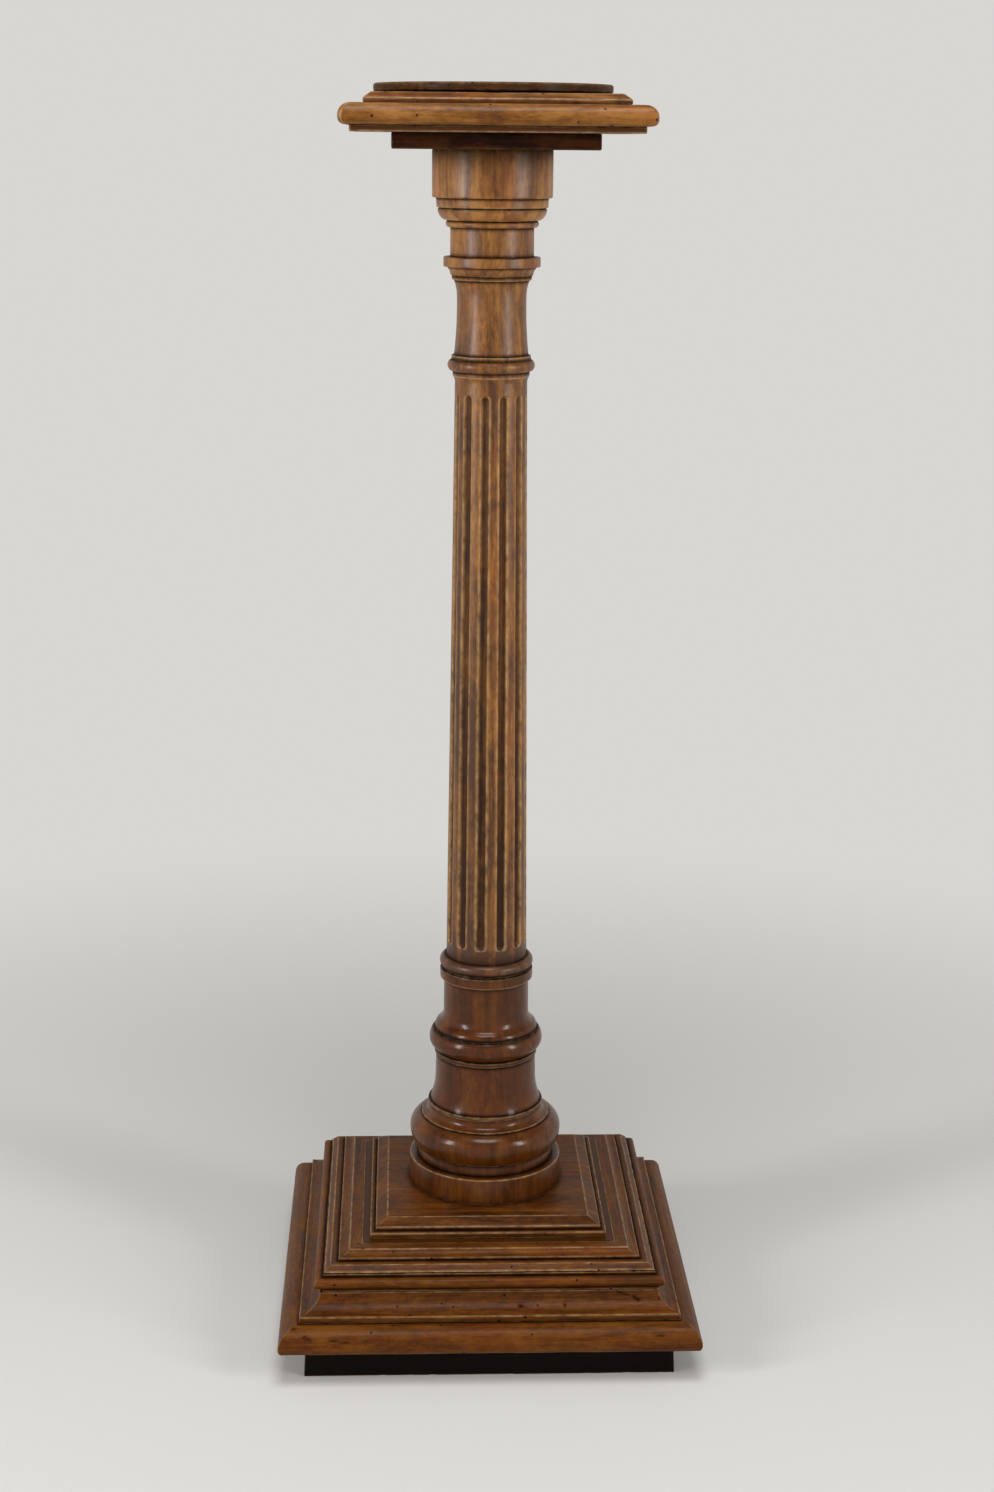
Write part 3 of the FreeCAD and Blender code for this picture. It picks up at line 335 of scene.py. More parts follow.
def noise(points, scale, seed):
    """Smooth noise from -1 to 1 over points in millimetres."""
    p = points / scale
    base = np.floor(p).astype(np.int64)
    f = p - base
    f = f * f * (3 - 2 * f)
    total = 0.0
    for corner in range(8):
        d = [(corner >> k) & 1 for k in range(3)]
        weight = 1.0
        for k in range(3):
            weight = weight * (f[..., k] if d[k] else 1 - f[..., k])
        at_corner = lattice(base[..., 0] + d[0], base[..., 1] + d[1], base[..., 2] + d[2], seed)
        total = total + weight * at_corner
    return total


def depth_share(places, centre, direction, length, width):
    """How deep each point lies in a scar, from 0 to 1. A scar is a groove in millimetres."""
    direction = np.asarray(direction, float) / np.linalg.norm(direction)
    away = places - np.asarray(centre, float)
    run = away @ direction
    side = np.linalg.norm(away - run[..., None] * direction, axis=-1)
    beyond = np.clip(np.abs(run) - length / 2, 0, None)
    return np.exp(-((side / (width / 2))**2)) * np.exp(-((beyond / (width / 2))**2))


def worn(places, normals, edge, seed, scars=()):
    """Moves grid points in or out: hand-planed waviness, arrises rubbed away unevenly, and scars."""
    shift = LONG_DEPTH * noise(places, LONG_WAVE, seed) + SHORT_DEPTH * noise(places, SHORT_WAVE, seed + 1)
    rubbed = LEAST_RUB + RUB_SWING * (noise(places, RUB_SPAN, seed + 2) + 1)
    nicks = np.clip(noise(places, NICK_SPAN, seed + 3) - NICK_LEVEL, 0, 1) * NICK_DEPTH
    shift = shift - edge * (rubbed + nicks)
    for *groove, depth in scars:
        shift = shift - depth * depth_share(places, *groove)
    return places + normals * shift[..., None]


def scarred(grime, places, scars):
    """Dirt settles in scars."""
    for *groove, _ in scars:
        grime = np.maximum(grime, depth_share(places, *groove))
    return grime


def with_dark_bands(grime, up, bands):
    """Adds dark bands to the dirt and painted shade. Each is (level, reach, strength) and fades away
    from its level.
    """
    for level, reach, strength in bands:
        grime = np.maximum(grime, strength * np.exp(-((up - level) / reach)**2))
    return grime


def from_plank(places):
    """The places that points had in the plank, given as (along, across, through) its grain."""
    return places + rng.uniform(-PLANK_REACH, PLANK_REACH, 3)


def grid_mesh(name, places, grain, marks, wrap_rows, wrap_columns=True, caps=()):
    """A mesh from a grid of points [row, column]. The wood's own coordinates and its marks are attributes."""
    rows, columns = places.shape[:2]
    r = np.arange(rows if wrap_rows else rows - 1)
    c = np.arange(columns if wrap_columns else columns - 1)
    r, c = np.meshgrid(r, c, indexing="ij")
    r1, c1 = (r + 1) % rows, (c + 1) % columns
    quads = np.stack([r * columns + c, r * columns + c1, r1 * columns + c1, r1 * columns + c], -1)
    vertices = places.reshape(-1, 3) * MM
    mesh = bpy.data.meshes.new(name)
    mesh.from_pydata(vertices.tolist(), [], quads.reshape(-1, 4).tolist() + list(caps))
    mesh.update()
    layer = mesh.attributes.new("grain", "FLOAT_VECTOR", "POINT")
    layer.data.foreach_set("vector", (grain.reshape(-1, 3) * MM).astype(np.float32).ravel())
    for mark, values in marks.items():
        values = np.clip(np.broadcast_to(values, places.shape[:2]), 0, 1)
        layer = mesh.attributes.new(mark, "FLOAT", "POINT")
        layer.data.foreach_set("value", values.astype(np.float32).ravel())
    return mesh


def finish_piece(mesh, node, body="stand"):
    """Cleans a mesh, shades it and puts it in its node's place."""
    cleaned = bmesh.new()
    cleaned.from_mesh(mesh)
    bmesh.ops.remove_doubles(cleaned, verts=cleaned.verts, dist=PIECE_WELD)
    bmesh.ops.recalc_face_normals(cleaned, faces=cleaned.faces)
    cleaned.to_mesh(mesh)
    cleaned.free()
    mesh.shade_smooth()
    piece = bpy.data.objects.new(f"{node}_piece", mesh)
    bpy.context.scene.collection.objects.link(piece)
    mesh.materials.append(finishes[node_slots[node]])
    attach(piece, body)
    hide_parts(node)


# ---------------------------------------------------------------------------------------------------
# Turned pieces
# ---------------------------------------------------------------------------------------------------
# The grid of a turned piece: the step along its section, its columns, and the radius of its arrises.
# Points closer to the centre line than the last number stay where they are.
TURNED_STEP = 2.4
TURNED_COLUMNS = 224
TURNED_ARRIS = 0.6
ON_CENTRE = 0.5
# The order of x, y and z as (along, across, through) the grain: upright, or from side to side.
UPRIGHT_GRAIN = [2, 0, 1]
LEVEL_GRAIN = [0, 1, 2]


def spin(out, up, angles):
    """Places or directions given as (out, up), at angles round the centre line."""
    return np.stack([out * np.cos(angles), out * np.sin(angles), up + 0 * angles], -1)


def turned(node, seed, body="stand", columns=TURNED_COLUMNS, turn=0.0, keep=None, start=None, tone=0.5,
           dark_bands=(), grain_axes=UPRIGHT_GRAIN):
    """A piece turned about the column's centre line, its section read towards the azimuth turn. Where
    keep leaves out the section's start, start closes it on the centre line."""
    points, closed = section(node, turn, keep=keep)
    if start:
        points = np.vstack([[start], points])
    outline = Outline(points, closed, TURNED_STEP, TURNED_ARRIS)
    angles = np.arange(columns) * 2 * math.pi / columns
    out, up = outline.points[:, :1], outline.points[:, 1:]
    places = spin(out, up, angles[None, :])
    normals = spin(outline.normals[:, :1], outline.normals[:, 1:], angles[None, :])
    edge = np.repeat(outline.edge[:, None], columns, 1)
    grime = with_dark_bands(np.repeat(outline.grime[:, None], columns, 1), up, dark_bands)
    moved = worn(places, normals, edge * (out > 2 * ON_CENTRE), seed)
    moved = np.where(out[..., None] > ON_CENTRE, moved, places)
    marks = {"wear": edge, "grime": grime, "tone": tone}
    mesh = grid_mesh(node, moved, from_plank(moved[..., grain_axes]), marks, wrap_rows=closed)
    finish_piece(mesh, node, body)


# The flutes as the CAD cuts them: levels of their round ends, their radii, and how far their centre
# line stands off the shaft. The shaft's two ends are (level, radius).
FLUTE_COUNT = 12
FLUTE_TURN = 19.1
FLUTE_FOOT_RADIUS = 4.9
FLUTE_HEAD_RADIUS = 4.3
FLUTE_STAND_OFF = 0.7
SHAFT_FOOT = (371.9, 40.4)
SHAFT_HEAD = (946.4, 34.5)
FLUTE_LOW = SHAFT_FOOT[0] + 14.3
FLUTE_HIGH = SHAFT_HEAD[0] - 11.0
# The grid over the flutes: rows on a round end, the step between rows and along the rest of the section,
# and columns of half a flute and of half a land.
END_ROWS = 8
ROW_STEP = 8.0
FLUTED_STEP = 4.0
HALF_FLUTE, HALF_LAND = 5, 2
# The arris between flute and land: its width, how low it sits, and how far its wear reaches. Rows beyond
# a flute's end keep a narrow pair of arrises, as a share of the full flute's width.
LIP_WIDTH, LIP_DROP, LIP_WEAR = 0.55, 0.22, 0.9
NARROW_SHARE = 0.10
# Painted shade in a flute starts at a depth, is full the second number deeper, and is this strong there.
UNSHADED_DEPTH, FULL_SHADE_DEPTH, FLUTE_SHADE = 0.6, 2.6, 0.62
# What the columns of a flute's grid lie on.
IN_FLUTE, ON_LIP, ON_LAND = 0, 1, 2


def shaft_radius(level):
    """The plain tapering shaft's radius at a level."""
    share = (level - SHAFT_FOOT[0]) / (SHAFT_HEAD[0] - SHAFT_FOOT[0])
    return SHAFT_FOOT[1] + (SHAFT_HEAD[1] - SHAFT_FOOT[1]) * share


def flute_reach(level):
    """A flute's own radius at a level: full along its length, closing in a half circle at each end."""
    share = np.clip((level - FLUTE_LOW) / (FLUTE_HIGH - FLUTE_LOW), 0, 1)
    full = FLUTE_FOOT_RADIUS + (FLUTE_HEAD_RADIUS - FLUTE_FOOT_RADIUS) * share
    inside = np.minimum(level - FLUTE_LOW, FLUTE_HIGH - level)
    return np.sqrt(np.clip(full**2 - np.clip(full - inside, 0, None)**2, 0, None)) * (inside > 0)


def flute_levels():
    """The levels of the rows over the flutes: close together at the round ends and even between them."""
    quarter = np.linspace(0, math.pi / 2, END_ROWS)
    feet = [FLUTE_LOW + FLUTE_FOOT_RADIUS * (1 - math.cos(t)) for t in quarter]
    heads = [FLUTE_HIGH - FLUTE_HEAD_RADIUS * (1 - math.cos(t)) for t in quarter]
    return np.concatenate([[feet[0] - 3, feet[0] - 0.6], feet,
                           np.arange(feet[-1] + 4, heads[-1] - 3, ROW_STEP),
                           heads[::-1], [heads[0] + 0.6, heads[0] + 3]])


def shaft_outline(node):
    """The fluted shaft's outline with the rows for its flutes spliced in, and which of its points they
    are."""
    foot, head = SHAFT_FOOT[0], SHAFT_HEAD[0]
    points, closed = section(node, FLUTE_TURN, keep=lambda out, up: not foot + 2 < up < head - 2)
    outline = Outline(points, closed, FLUTED_STEP, TURNED_ARRIS)
    out, up = outline.points.T
    # Points at these levels that lie further in belong to the inside.
    on_cone = (up > foot + 2.5) & (up < head - 2.5) & (out > 30)
    first, last = np.flatnonzero(on_cone)[[0, -1]]
    levels = flute_levels()
    slope = np.array([1.0, (SHAFT_FOOT[1] - SHAFT_HEAD[1]) / (head - foot)])
    normal = slope / np.linalg.norm(slope)

    def spliced(values, between):
        return np.concatenate([values[:first], between, values[last + 1:]])

    outline.points = spliced(outline.points, np.stack([shaft_radius(levels), levels], 1))
    outline.normals = spliced(outline.normals, np.tile(normal, (len(levels), 1)))
    outline.edge = spliced(outline.edge, np.zeros(len(levels)))
    outline.grime = spliced(outline.grime, np.zeros(len(levels)))
    in_cone = np.zeros(len(outline.points), bool)
    in_cone[first:first + len(levels)] = True
    return outline, in_cone


def fluted(node, seed, tones, dark_bands):
    """The fluted shaft. Its columns follow the arrises of the flutes, which narrow with the shaft. Its
    tone changes by (level, tone) points."""
    outline, in_cone = shaft_outline(node)
    radius, level = outline.points[:, :1], outline.points[:, 1:]
    in_cone = in_cone[:, None]
    half_pitch = math.pi / FLUTE_COUNT
    centre = radius + FLUTE_STAND_OFF
    reach = np.where(in_cone, flute_reach(level), 0.0)
    cos_edge = (radius**2 + centre**2 - reach**2) / (2 * radius * centre + 1e-9)
    half_angle = np.arccos(np.clip(cos_edge, -1, 1))
    full_angle = float(np.median(half_angle[in_cone]))
    # Away from the cone the columns keep a full flute's spacing.
    half_angle = np.where(in_cone & (reach > 0), np.maximum(half_angle, NARROW_SHARE * full_angle),
                          np.where(in_cone, NARROW_SHARE * full_angle, full_angle))
    lip = np.minimum(LIP_WIDTH / np.maximum(radius, 20), half_angle * 0.4)
    flute = [(half_angle - lip) * math.sin(k / HALF_FLUTE * math.pi / 2) for k in range(HALF_FLUTE + 1)]
    land = [half_angle + lip + (half_pitch - half_angle - lip) * k / HALF_LAND for k in range(HALF_LAND + 1)]
    zone = np.array([IN_FLUTE] * len(flute) + [ON_LIP] + [ON_LAND] * len(land))
    zone = np.concatenate([zone, zone[-2:0:-1]])
    half = np.hstack([*flute, half_angle, *land])
    period = np.hstack([half, 2 * half_pitch - half[:, -2:0:-1]])
    off = np.where(period > half_pitch, 2 * half_pitch - period, period)
    inner = centre * np.cos(off) - np.sqrt(np.clip(reach**2 - (centre * np.sin(off))**2, 0, None))
    cut = (reach > 0.05) & (zone != ON_LAND) & (off < half_angle + 1e-6)
    surface = np.where(cut, np.minimum(inner, radius), radius)
    # The lip between flute and land sits a little low, so that the arris is rubbed round.
    surface = np.where((zone == ON_LIP) & (reach > 0.5), radius - LIP_DROP, surface)
    angles = np.hstack([period + n * 2 * half_pitch for n in range(FLUTE_COUNT)]) + math.radians(FLUTE_TURN)
    surface = np.tile(surface, (1, FLUTE_COUNT))
    off = np.tile(off, (1, FLUTE_COUNT))
    places = spin(surface, level, angles)
    normals = spin(outline.normals[:, :1], outline.normals[:, 1:], angles)
    near_lip = np.exp(-((off - half_angle) * radius / LIP_WEAR)**2) * (reach > 1.0)
    edge = np.maximum(outline.edge[:, None], near_lip)
    # Painted shade darkens each flute towards its bottom.
    deep = np.clip((radius - surface - UNSHADED_DEPTH) / FULL_SHADE_DEPTH, 0, 1)
    grime = with_dark_bands(np.maximum(outline.grime[:, None], FLUTE_SHADE * deep), level, dark_bands)
    moved = worn(places, normals, edge, seed)
    moved = np.where(surface[..., None] > ON_CENTRE, moved, places)
    marks = {"wear": edge, "grime": grime, "tone": np.interp(level, *zip(*tones))}
    mesh = grid_mesh(node, moved, from_plank(moved[..., UPRIGHT_GRAIN]), marks, wrap_rows=outline.closed)
    finish_piece(mesh, node)


# ---------------------------------------------------------------------------------------------------
# Mouldings and boards
# ---------------------------------------------------------------------------------------------------
SIDES = {"right": 0.0, "back": 90.0, "left": 180.0, "front": 270.0}
UP = np.array([0.0, 0.0, 1.0])
# The grid of a moulding and of a board: the step along the section, the columns along a side, the radii
# of arrises and of a moulding's corner, and how far the wear reaches from the corner.
STRIP_STEP, STRIP_COLUMNS, STRIP_ARRIS, STRIP_CORNER, STRIP_WEAR = 2.0, 124, 0.7, 1.1, 0.8
BOARD_STEP, BOARD_COLUMNS, BOARD_ARRIS, BOARD_WEAR = 2.8, 84, 0.8, 0.9
# Extra columns near the corners, as shares of a side's straight part.
NEAR_MITRE = [0.991, 0.9965]
NEAR_CORNER = [0.983, 0.993]
# How deep the fine groove of a mitre joint is, and how far from it the surface is true again.
MITRE_GROOVE = 0.22
MITRE_FADE = 3.0
# Sections of boards are read this far off the middle, clear of the screw holes on it.
PAST_SCREWS = 14.0
# How far outside its bore a board's grid goes over from round to square.
ROUND_RIM, ROUND_TO_SQUARE = 1.0, 12.0


def side_axes(side):
    """The outward direction and the direction along a side, anticlockwise from above."""
    azimuth = math.radians(SIDES[side])
    out = np.array([math.cos(azimuth), math.sin(azimuth), 0.0])
    return out, np.array([-out[1], out[0], 0.0])


def strip(name, side, seed, tone, scars=(), extra=()):
    """A moulding mitred at both ends. Its corner arris is worn, and its mitre joint shows as a fine line.
    Scars get extra columns at shares of the side."""
    node = f"{name}_{side}"
    points, closed = section(node, SIDES[side])
    outline = Outline(points, closed, STRIP_STEP, STRIP_ARRIS)
    out_way, along_way = side_axes(side)
    share = np.unique([*np.linspace(-1, 1, STRIP_COLUMNS), *NEAR_MITRE, *[-x for x in NEAR_MITRE], *extra])
    bend = np.linspace(0, math.pi / 4, 5)[1:]
    out, up = outline.points[:, :1], outline.points[:, 1:]
    normal_out, normal_up = outline.normals[:, :1], outline.normals[:, 1:]
    round_by = np.minimum(STRIP_CORNER, out * 0.2)
    middle_run = (out - round_by) * share[None, :]
    middle_out = np.repeat(out, len(share), 1)
    # Round the corner, then down into the joint.
    bend_run = out - round_by + round_by * np.sin(bend)[None, :]
    bend_out = out - round_by + round_by * np.cos(bend)[None, :]
    joint_run, joint_out = bend_run[:, -1:] - MITRE_GROOVE * 0.9, bend_out[:, -1:] - MITRE_GROOVE * 0.9
    bend_run[:, -1:] -= MITRE_GROOVE * 0.25
    bend_out[:, -1:] += MITRE_GROOVE * 0.05
    end_run = np.hstack([bend_run, joint_run])
    end_out = np.hstack([bend_out, joint_out])
    run = np.hstack([-end_run[:, ::-1], middle_run, end_run])
    reach = np.hstack([end_out[:, ::-1], middle_out, end_out])
    height = np.repeat(up, run.shape[1], 1)
    places = run[..., None] * along_way + reach[..., None] * out_way + height[..., None] * UP
    normals = normal_out[..., None] * out_way + normal_up[..., None] * UP
    normals = np.broadcast_to(normals, places.shape)
    ends = np.exp(-((out - np.abs(run)) / STRIP_WEAR)**2) * (normal_out > 0.3)
    edge = np.maximum(outline.edge[:, None], ends)
    grime = np.repeat(outline.grime[:, None], run.shape[1], 1)
    grime[:, [0, -1]] = 1.0
    grime = scarred(grime, places, scars)
    moved = worn(places, normals, edge, seed, scars)
    fade = np.clip((reach - np.abs(run)) / MITRE_FADE, 0, 1)[..., None]
    moved = places + (moved - places) * fade
    # Nothing goes below the floor.
    moved[..., 2] = np.maximum(moved[..., 2], 0.0)
    grain = from_plank(np.stack([moved @ along_way, moved @ out_way, moved[..., 2]], -1))
    rows, count = run.shape
    caps = [[row * count for row in range(rows)], [row * count + count - 1 for row in range(rows)][::-1]]
    marks = {"wear": edge, "grime": grime, "tone": tone}
    mesh = grid_mesh(node, moved, grain, marks, wrap_rows=True, wrap_columns=False, caps=caps)
    finish_piece(mesh, node)


def squared(node, seed, tone, bore, corner=1.5, meets_round=0):
    """A square board or block with a round bore, its grain from side to side. Where a round piece stands
    on it, meets_round is 1, and where one carries it, -1."""
    points, closed = section(node, offset=PAST_SCREWS)
    # Off the middle the section meets the bore too early or not at all, so its radius is put back.
    inside = points[:, 0] < points[:, 0].min() + 0.01
    points[inside, 0] = bore
    outline = Outline(points, closed, BOARD_STEP, BOARD_ARRIS)
    share = np.unique([*np.linspace(-1, 1, BOARD_COLUMNS), *NEAR_CORNER, *[-x for x in NEAR_CORNER]])
    bend = np.linspace(0, math.pi / 2, 8)[1:-1]
    lean = np.concatenate([np.zeros(len(share)), bend])[:, None]
    out, up = outline.points[:, :1], outline.points[:, 1:]
    normal_out, normal_up = outline.normals[:, :1], outline.normals[:, 1:]
    round_by = np.minimum(corner, out * 0.5)
    squareness = np.clip((out - bore - ROUND_RIM) / ROUND_TO_SQUARE, 0, 1)
    run = np.hstack([(out - round_by) * share[None, :], out - round_by + round_by * np.sin(bend)[None, :]])
    reach = np.hstack([np.repeat(out, len(share), 1), out - round_by + round_by * np.cos(bend)[None, :]])
    ends = np.exp(-((out - np.abs(run)) / BOARD_WEAR)**2) * (np.abs(normal_out) > 0.3)
    edge = np.tile(np.maximum(outline.edge[:, None], ends), (1, len(SIDES)))
    places, normals = [], []
    for side in SIDES:
        out_way, along_way = side_axes(side)
        flat = run[..., None] * along_way + reach[..., None] * out_way
        circle = flat / np.maximum(np.linalg.norm(flat, axis=-1, keepdims=True), 1e-6) * out[..., None]
        flat = circle + (flat - circle) * squareness[..., None]
        places.append(flat + up[..., None] * UP)
        level = np.cos(lean) * out_way + np.sin(lean) * along_way
        normals.append(normal_out[..., None] * level[None] + normal_up[..., None] * UP)
    places, normals = np.hstack(places), np.hstack(normals)
    grime = np.repeat(outline.grime[:, None], places.shape[1], 1)
    if meets_round:
        # The dirt and painted shade on this face follow the round piece that it meets.
        height = outline.points[:, 1] * meets_round
        face = (height > height.max() - 0.3) & (outline.normals[:, 1] * meets_round > 0.9)
        order = np.argsort(outline.points[face, 0])
        radial = np.hypot(places[face][..., 0], places[face][..., 1])
        grime[face] = np.interp(radial, outline.points[face, 0][order], outline.grime[face][order])
    moved = worn(places, normals, edge, seed)
    marks = {"wear": edge, "grime": grime, "tone": tone}
    mesh = grid_mesh(node, moved, from_plank(moved), marks, wrap_rows=True)
    finish_piece(mesh, node)


# ---------------------------------------------------------------------------------------------------
# Materials
# ---------------------------------------------------------------------------------------------------
# The sizes of the walnut's patterns along, across and through the grain. Real pores and fibres are about
# 0.2 mm wide, and are drawn as wide as they need to be to show. Worm holes lie about this far apart, and
# only the few that happen to lie at the surface show.
SWAY = (230, 70, 70)
FIGURE = (300, 13, 13)
STREAKS = (110, 3.4, 3.4)
FIBRES = (26, 0.8, 0.8)
PATCHES = (62, 30, 30)
RUDDY_PATCHES = (120, 34, 34)
MOTTLE = (9, 5, 5)
PORES = (8, 0.5, 0.5)
SPECKS = (2.4, 1.1, 1.1)
RUBBING = (11, 8, 8)
WORM_PITCH = 15.0
RUDDY_TINT = "ffe4ce"
# The size of the uneven tone on plain finishes, and the colour that it goes towards.
UNEVEN = (6.0, 6.0, 6.0)
UNEVEN_DARK = "191612"
# The sockets of a colour Mix node: its factor, and the two colours.
FACTOR, FIRST, SECOND = 0, 6, 7


def colour(hex_code):
    """A linear colour from an sRGB hex code."""
    parts = [int(hex_code[i:i + 2], 16) / 255 for i in (0, 2, 4)]
    return (*[c / 12.92 if c <= 0.04045 else ((c + 0.055) / 1.055)**2.4 for c in parts], 1.0)


def add(tree, kind, inputs=None, stops=(), **settings):
    """Adds a shader node. An input, by name or number, takes a value, a socket, or a node whose first
    output in use is linked. A ramp's stops are (place, grey or colour)."""
    made = tree.nodes.new(f"ShaderNode{kind}")
    for key, value in settings.items():
        setattr(made, key, value)
    for key, value in (inputs or {}).items():
        if isinstance(value, bpy.types.Node):
            value = next(socket for socket in value.outputs if socket.enabled)
        if isinstance(value, bpy.types.NodeSocket):
            tree.links.new(value, made.inputs[key])
        else:
            made.inputs[key].default_value = value
    elements = made.color_ramp.elements if stops else []
    while len(elements) < len(stops):
        elements.new(0.5)
    for element, (place, value) in zip(elements, stops):
        element.position = place
        element.color = value if isinstance(value, tuple) else (value, value, value, 1.0)
    return made


def new_material(name):
    material = bpy.data.materials.new(name)
    material.use_nodes = True
    tree = material.node_tree
    tree.nodes.clear()
    return material, tree


def sized_noise(tree, vector, sizes, detail, roughness=0.55, distortion=0.0):
    """Noise whose features measure the given millimetres along, across and through the grain."""
    scaled = add(tree, "Mapping", {"Vector": vector, "Scale": [1 / (size * MM) for size in sizes]})
    return add(tree, "TexNoise", {"Vector": scaled, "Scale": 1.0, "Detail": detail,
                                  "Roughness": roughness, "Distortion": distortion})


def walnut(name, dark, middle, light, worn_colour, deepest_colour, rough, gloss, coat, coat_rough=0.25,
           mottling=1.0, tone_reach=0.10, streaky=0.22, wormy=False):
    """Waxed walnut: a mottled patina over streaks and pores along the grain, ruddy patches, rubbed
    arrises, and dirt and painted shade in the hollows."""
    material, tree = new_material(name)
    grain = add(tree, "Attribute", attribute_name="grain").outputs["Vector"]
    own_tone = add(tree, "Attribute", attribute_name="tone").outputs["Fac"]
    wear = add(tree, "Attribute", attribute_name="wear").outputs["Fac"]
    grime = add(tree, "Attribute", attribute_name="grime").outputs["Fac"]

    # The figure and its streaks sway a little from side to side along the grain.
    sway = sized_noise(tree, grain, SWAY, 1.0)
    aside = add(tree, "CombineXYZ", {"Y": add(tree, "Math", {0: sway, 1: 0.030}, operation="MULTIPLY"),
                                     "Z": add(tree, "Math", {0: sway, 1: 0.022}, operation="MULTIPLY")})
    swayed = add(tree, "VectorMath", {0: grain, 1: aside}, operation="ADD")
    patches = sized_noise(tree, grain, PATCHES, 3.0, 0.62, 0.8)
    mottle = sized_noise(tree, grain, MOTTLE, 3.0, 0.65)
    shares = ((sized_noise(tree, swayed, FIGURE, 2.0, 0.5, 0.6), 0.42 - streaky),
              (sized_noise(tree, swayed, STREAKS, 3.0, 0.6), streaky),
              (sized_noise(tree, grain, FIBRES, 2.0, 0.5), 0.12), (patches, 0.28), (mottle, 0.18))
    tone = add(tree, "Math", {0: own_tone, 1: 0.5}, operation="SUBTRACT")
    tone = add(tree, "Math", {0: tone, 1: tone_reach * 2}, operation="MULTIPLY")
    for pattern, share in shares:
        part = add(tree, "Math", {0: pattern, 1: share}, operation="MULTIPLY")
        tone = add(tree, "Math", {0: tone, 1: part}, operation="ADD")
    half_range = 0.085 / mottling
    base = add(tree, "ValToRGB", {0: tone}, [(0.5 - half_range, colour(dark)), (0.5, colour(middle)),
                                             (0.5 + half_range, colour(light))])

    # Ruddy patches, and dark pores and specks.
    ruddy = add(tree, "ValToRGB", {0: sized_noise(tree, grain, RUDDY_PATCHES, 2.0, 0.55, 0.5)},
                [(0.48, 0.0), (0.66, 0.75)])
    base = add(tree, "Mix", {FACTOR: ruddy, FIRST: base, SECOND: colour(RUDDY_TINT)}, data_type="RGBA",
               blend_type="MULTIPLY")
    pores = add(tree, "ValToRGB", {0: sized_noise(tree, grain, PORES, 1.0, 0.4)}, [(0.63, 0.0), (0.71, 1.0)])
    specks = add(tree, "ValToRGB", {0: sized_noise(tree, grain, SPECKS, 1.0, 0.4)},
                 [(0.70, 0.0), (0.76, 1.0)])
    dark_marks = [add(tree, "Math", {0: pores, 1: 0.42}, operation="MULTIPLY"),
                  add(tree, "Math", {0: specks, 1: 0.5}, operation="MULTIPLY")]
    for mark in dark_marks:
        base = add(tree, "Mix", {FACTOR: mark, FIRST: base, SECOND: colour(deepest_colour)}, data_type="RGBA")

    # Rubbed arrises, dirt and painted shade in the hollows, and worm holes.
    rub = sized_noise(tree, grain, RUBBING, 3.0, 0.6)
    bare = add(tree, "ValToRGB", {0: rub}, [(0.34, 0.18), (0.64, 0.78)])
    bare = add(tree, "Math", {0: wear, 1: bare}, operation="MULTIPLY")
    base = add(tree, "Mix", {FACTOR: bare, FIRST: base, SECOND: colour(worn_colour)}, data_type="RGBA")
    # Dirt and painted shade darken the colour towards its darkest one.
    dirt_and_shade_share = add(tree, "ValToRGB", {0: rub}, [(0.30, 1.0), (0.80, 0.78)])
    dirt_and_shade_share = add(tree, "Math", {0: grime, 1: dirt_and_shade_share}, operation="MULTIPLY")
    base = add(tree, "Mix", {FACTOR: dirt_and_shade_share, FIRST: base, SECOND: colour(deepest_colour)}, data_type="RGBA")
    if wormy:
        scaled = add(tree, "Mapping", {"Vector": grain, "Scale": [1 / (WORM_PITCH * MM)] * 3})
        cell = add(tree, "TexVoronoi", {"Vector": scaled, "Scale": 1.0})
        hole = add(tree, "ValToRGB", {0: cell.outputs["Distance"]}, [(0.075, 1.0), (0.100, 0.0)])
        base = add(tree, "Mix", {FACTOR: hole, FIRST: base, SECOND: colour(deepest_colour)}, data_type="RGBA")

    # Wax shines less in patches, over pores and where the dirt and painted shade lie.
    dull = add(tree, "Math", {0: patches, 1: 0.34}, operation="MULTIPLY")
    dull = add(tree, "Math", {0: dull, 1: rough - 0.17}, operation="ADD")
    dull_pores = add(tree, "Math", {0: pores, 1: 0.2}, operation="MULTIPLY")
    dull = add(tree, "Math", {0: dull, 1: dull_pores}, operation="ADD")
    dull_dirt_and_shade = add(tree, "Math", {0: dirt_and_shade_share, 1: 0.3}, operation="MULTIPLY")
    dull = add(tree, "Math", {0: dull, 1: dull_dirt_and_shade}, operation="ADD", use_clamp=True)
    raised = add(tree, "Math", {0: mottle, 1: 0.8}, operation="MULTIPLY")
    sunk = add(tree, "Math", {0: pores, 1: 0.7}, operation="MULTIPLY")
    height = add(tree, "Math", {0: raised, 1: sunk}, operation="SUBTRACT")
    bump = add(tree, "Bump", {"Height": height, "Strength": 0.30, "Distance": 0.0003})
    hidden = add(tree, "Math", {0: dirt_and_shade_share, 1: 0.85}, operation="MULTIPLY")
    clean = add(tree, "Math", {0: 1.0, 1: hidden}, operation="SUBTRACT")
    shader = add(tree, "BsdfPrincipled", {
        "Base Color": base, "Roughness": dull, "Normal": bump,
        "Specular IOR Level": add(tree, "Math", {0: clean, 1: gloss}, operation="MULTIPLY"),
        "Coat Weight": add(tree, "Math", {0: clean, 1: coat}, operation="MULTIPLY"),
        "Coat Roughness": coat_rough})
    add(tree, "OutputMaterial", {"Surface": shader})
    return material


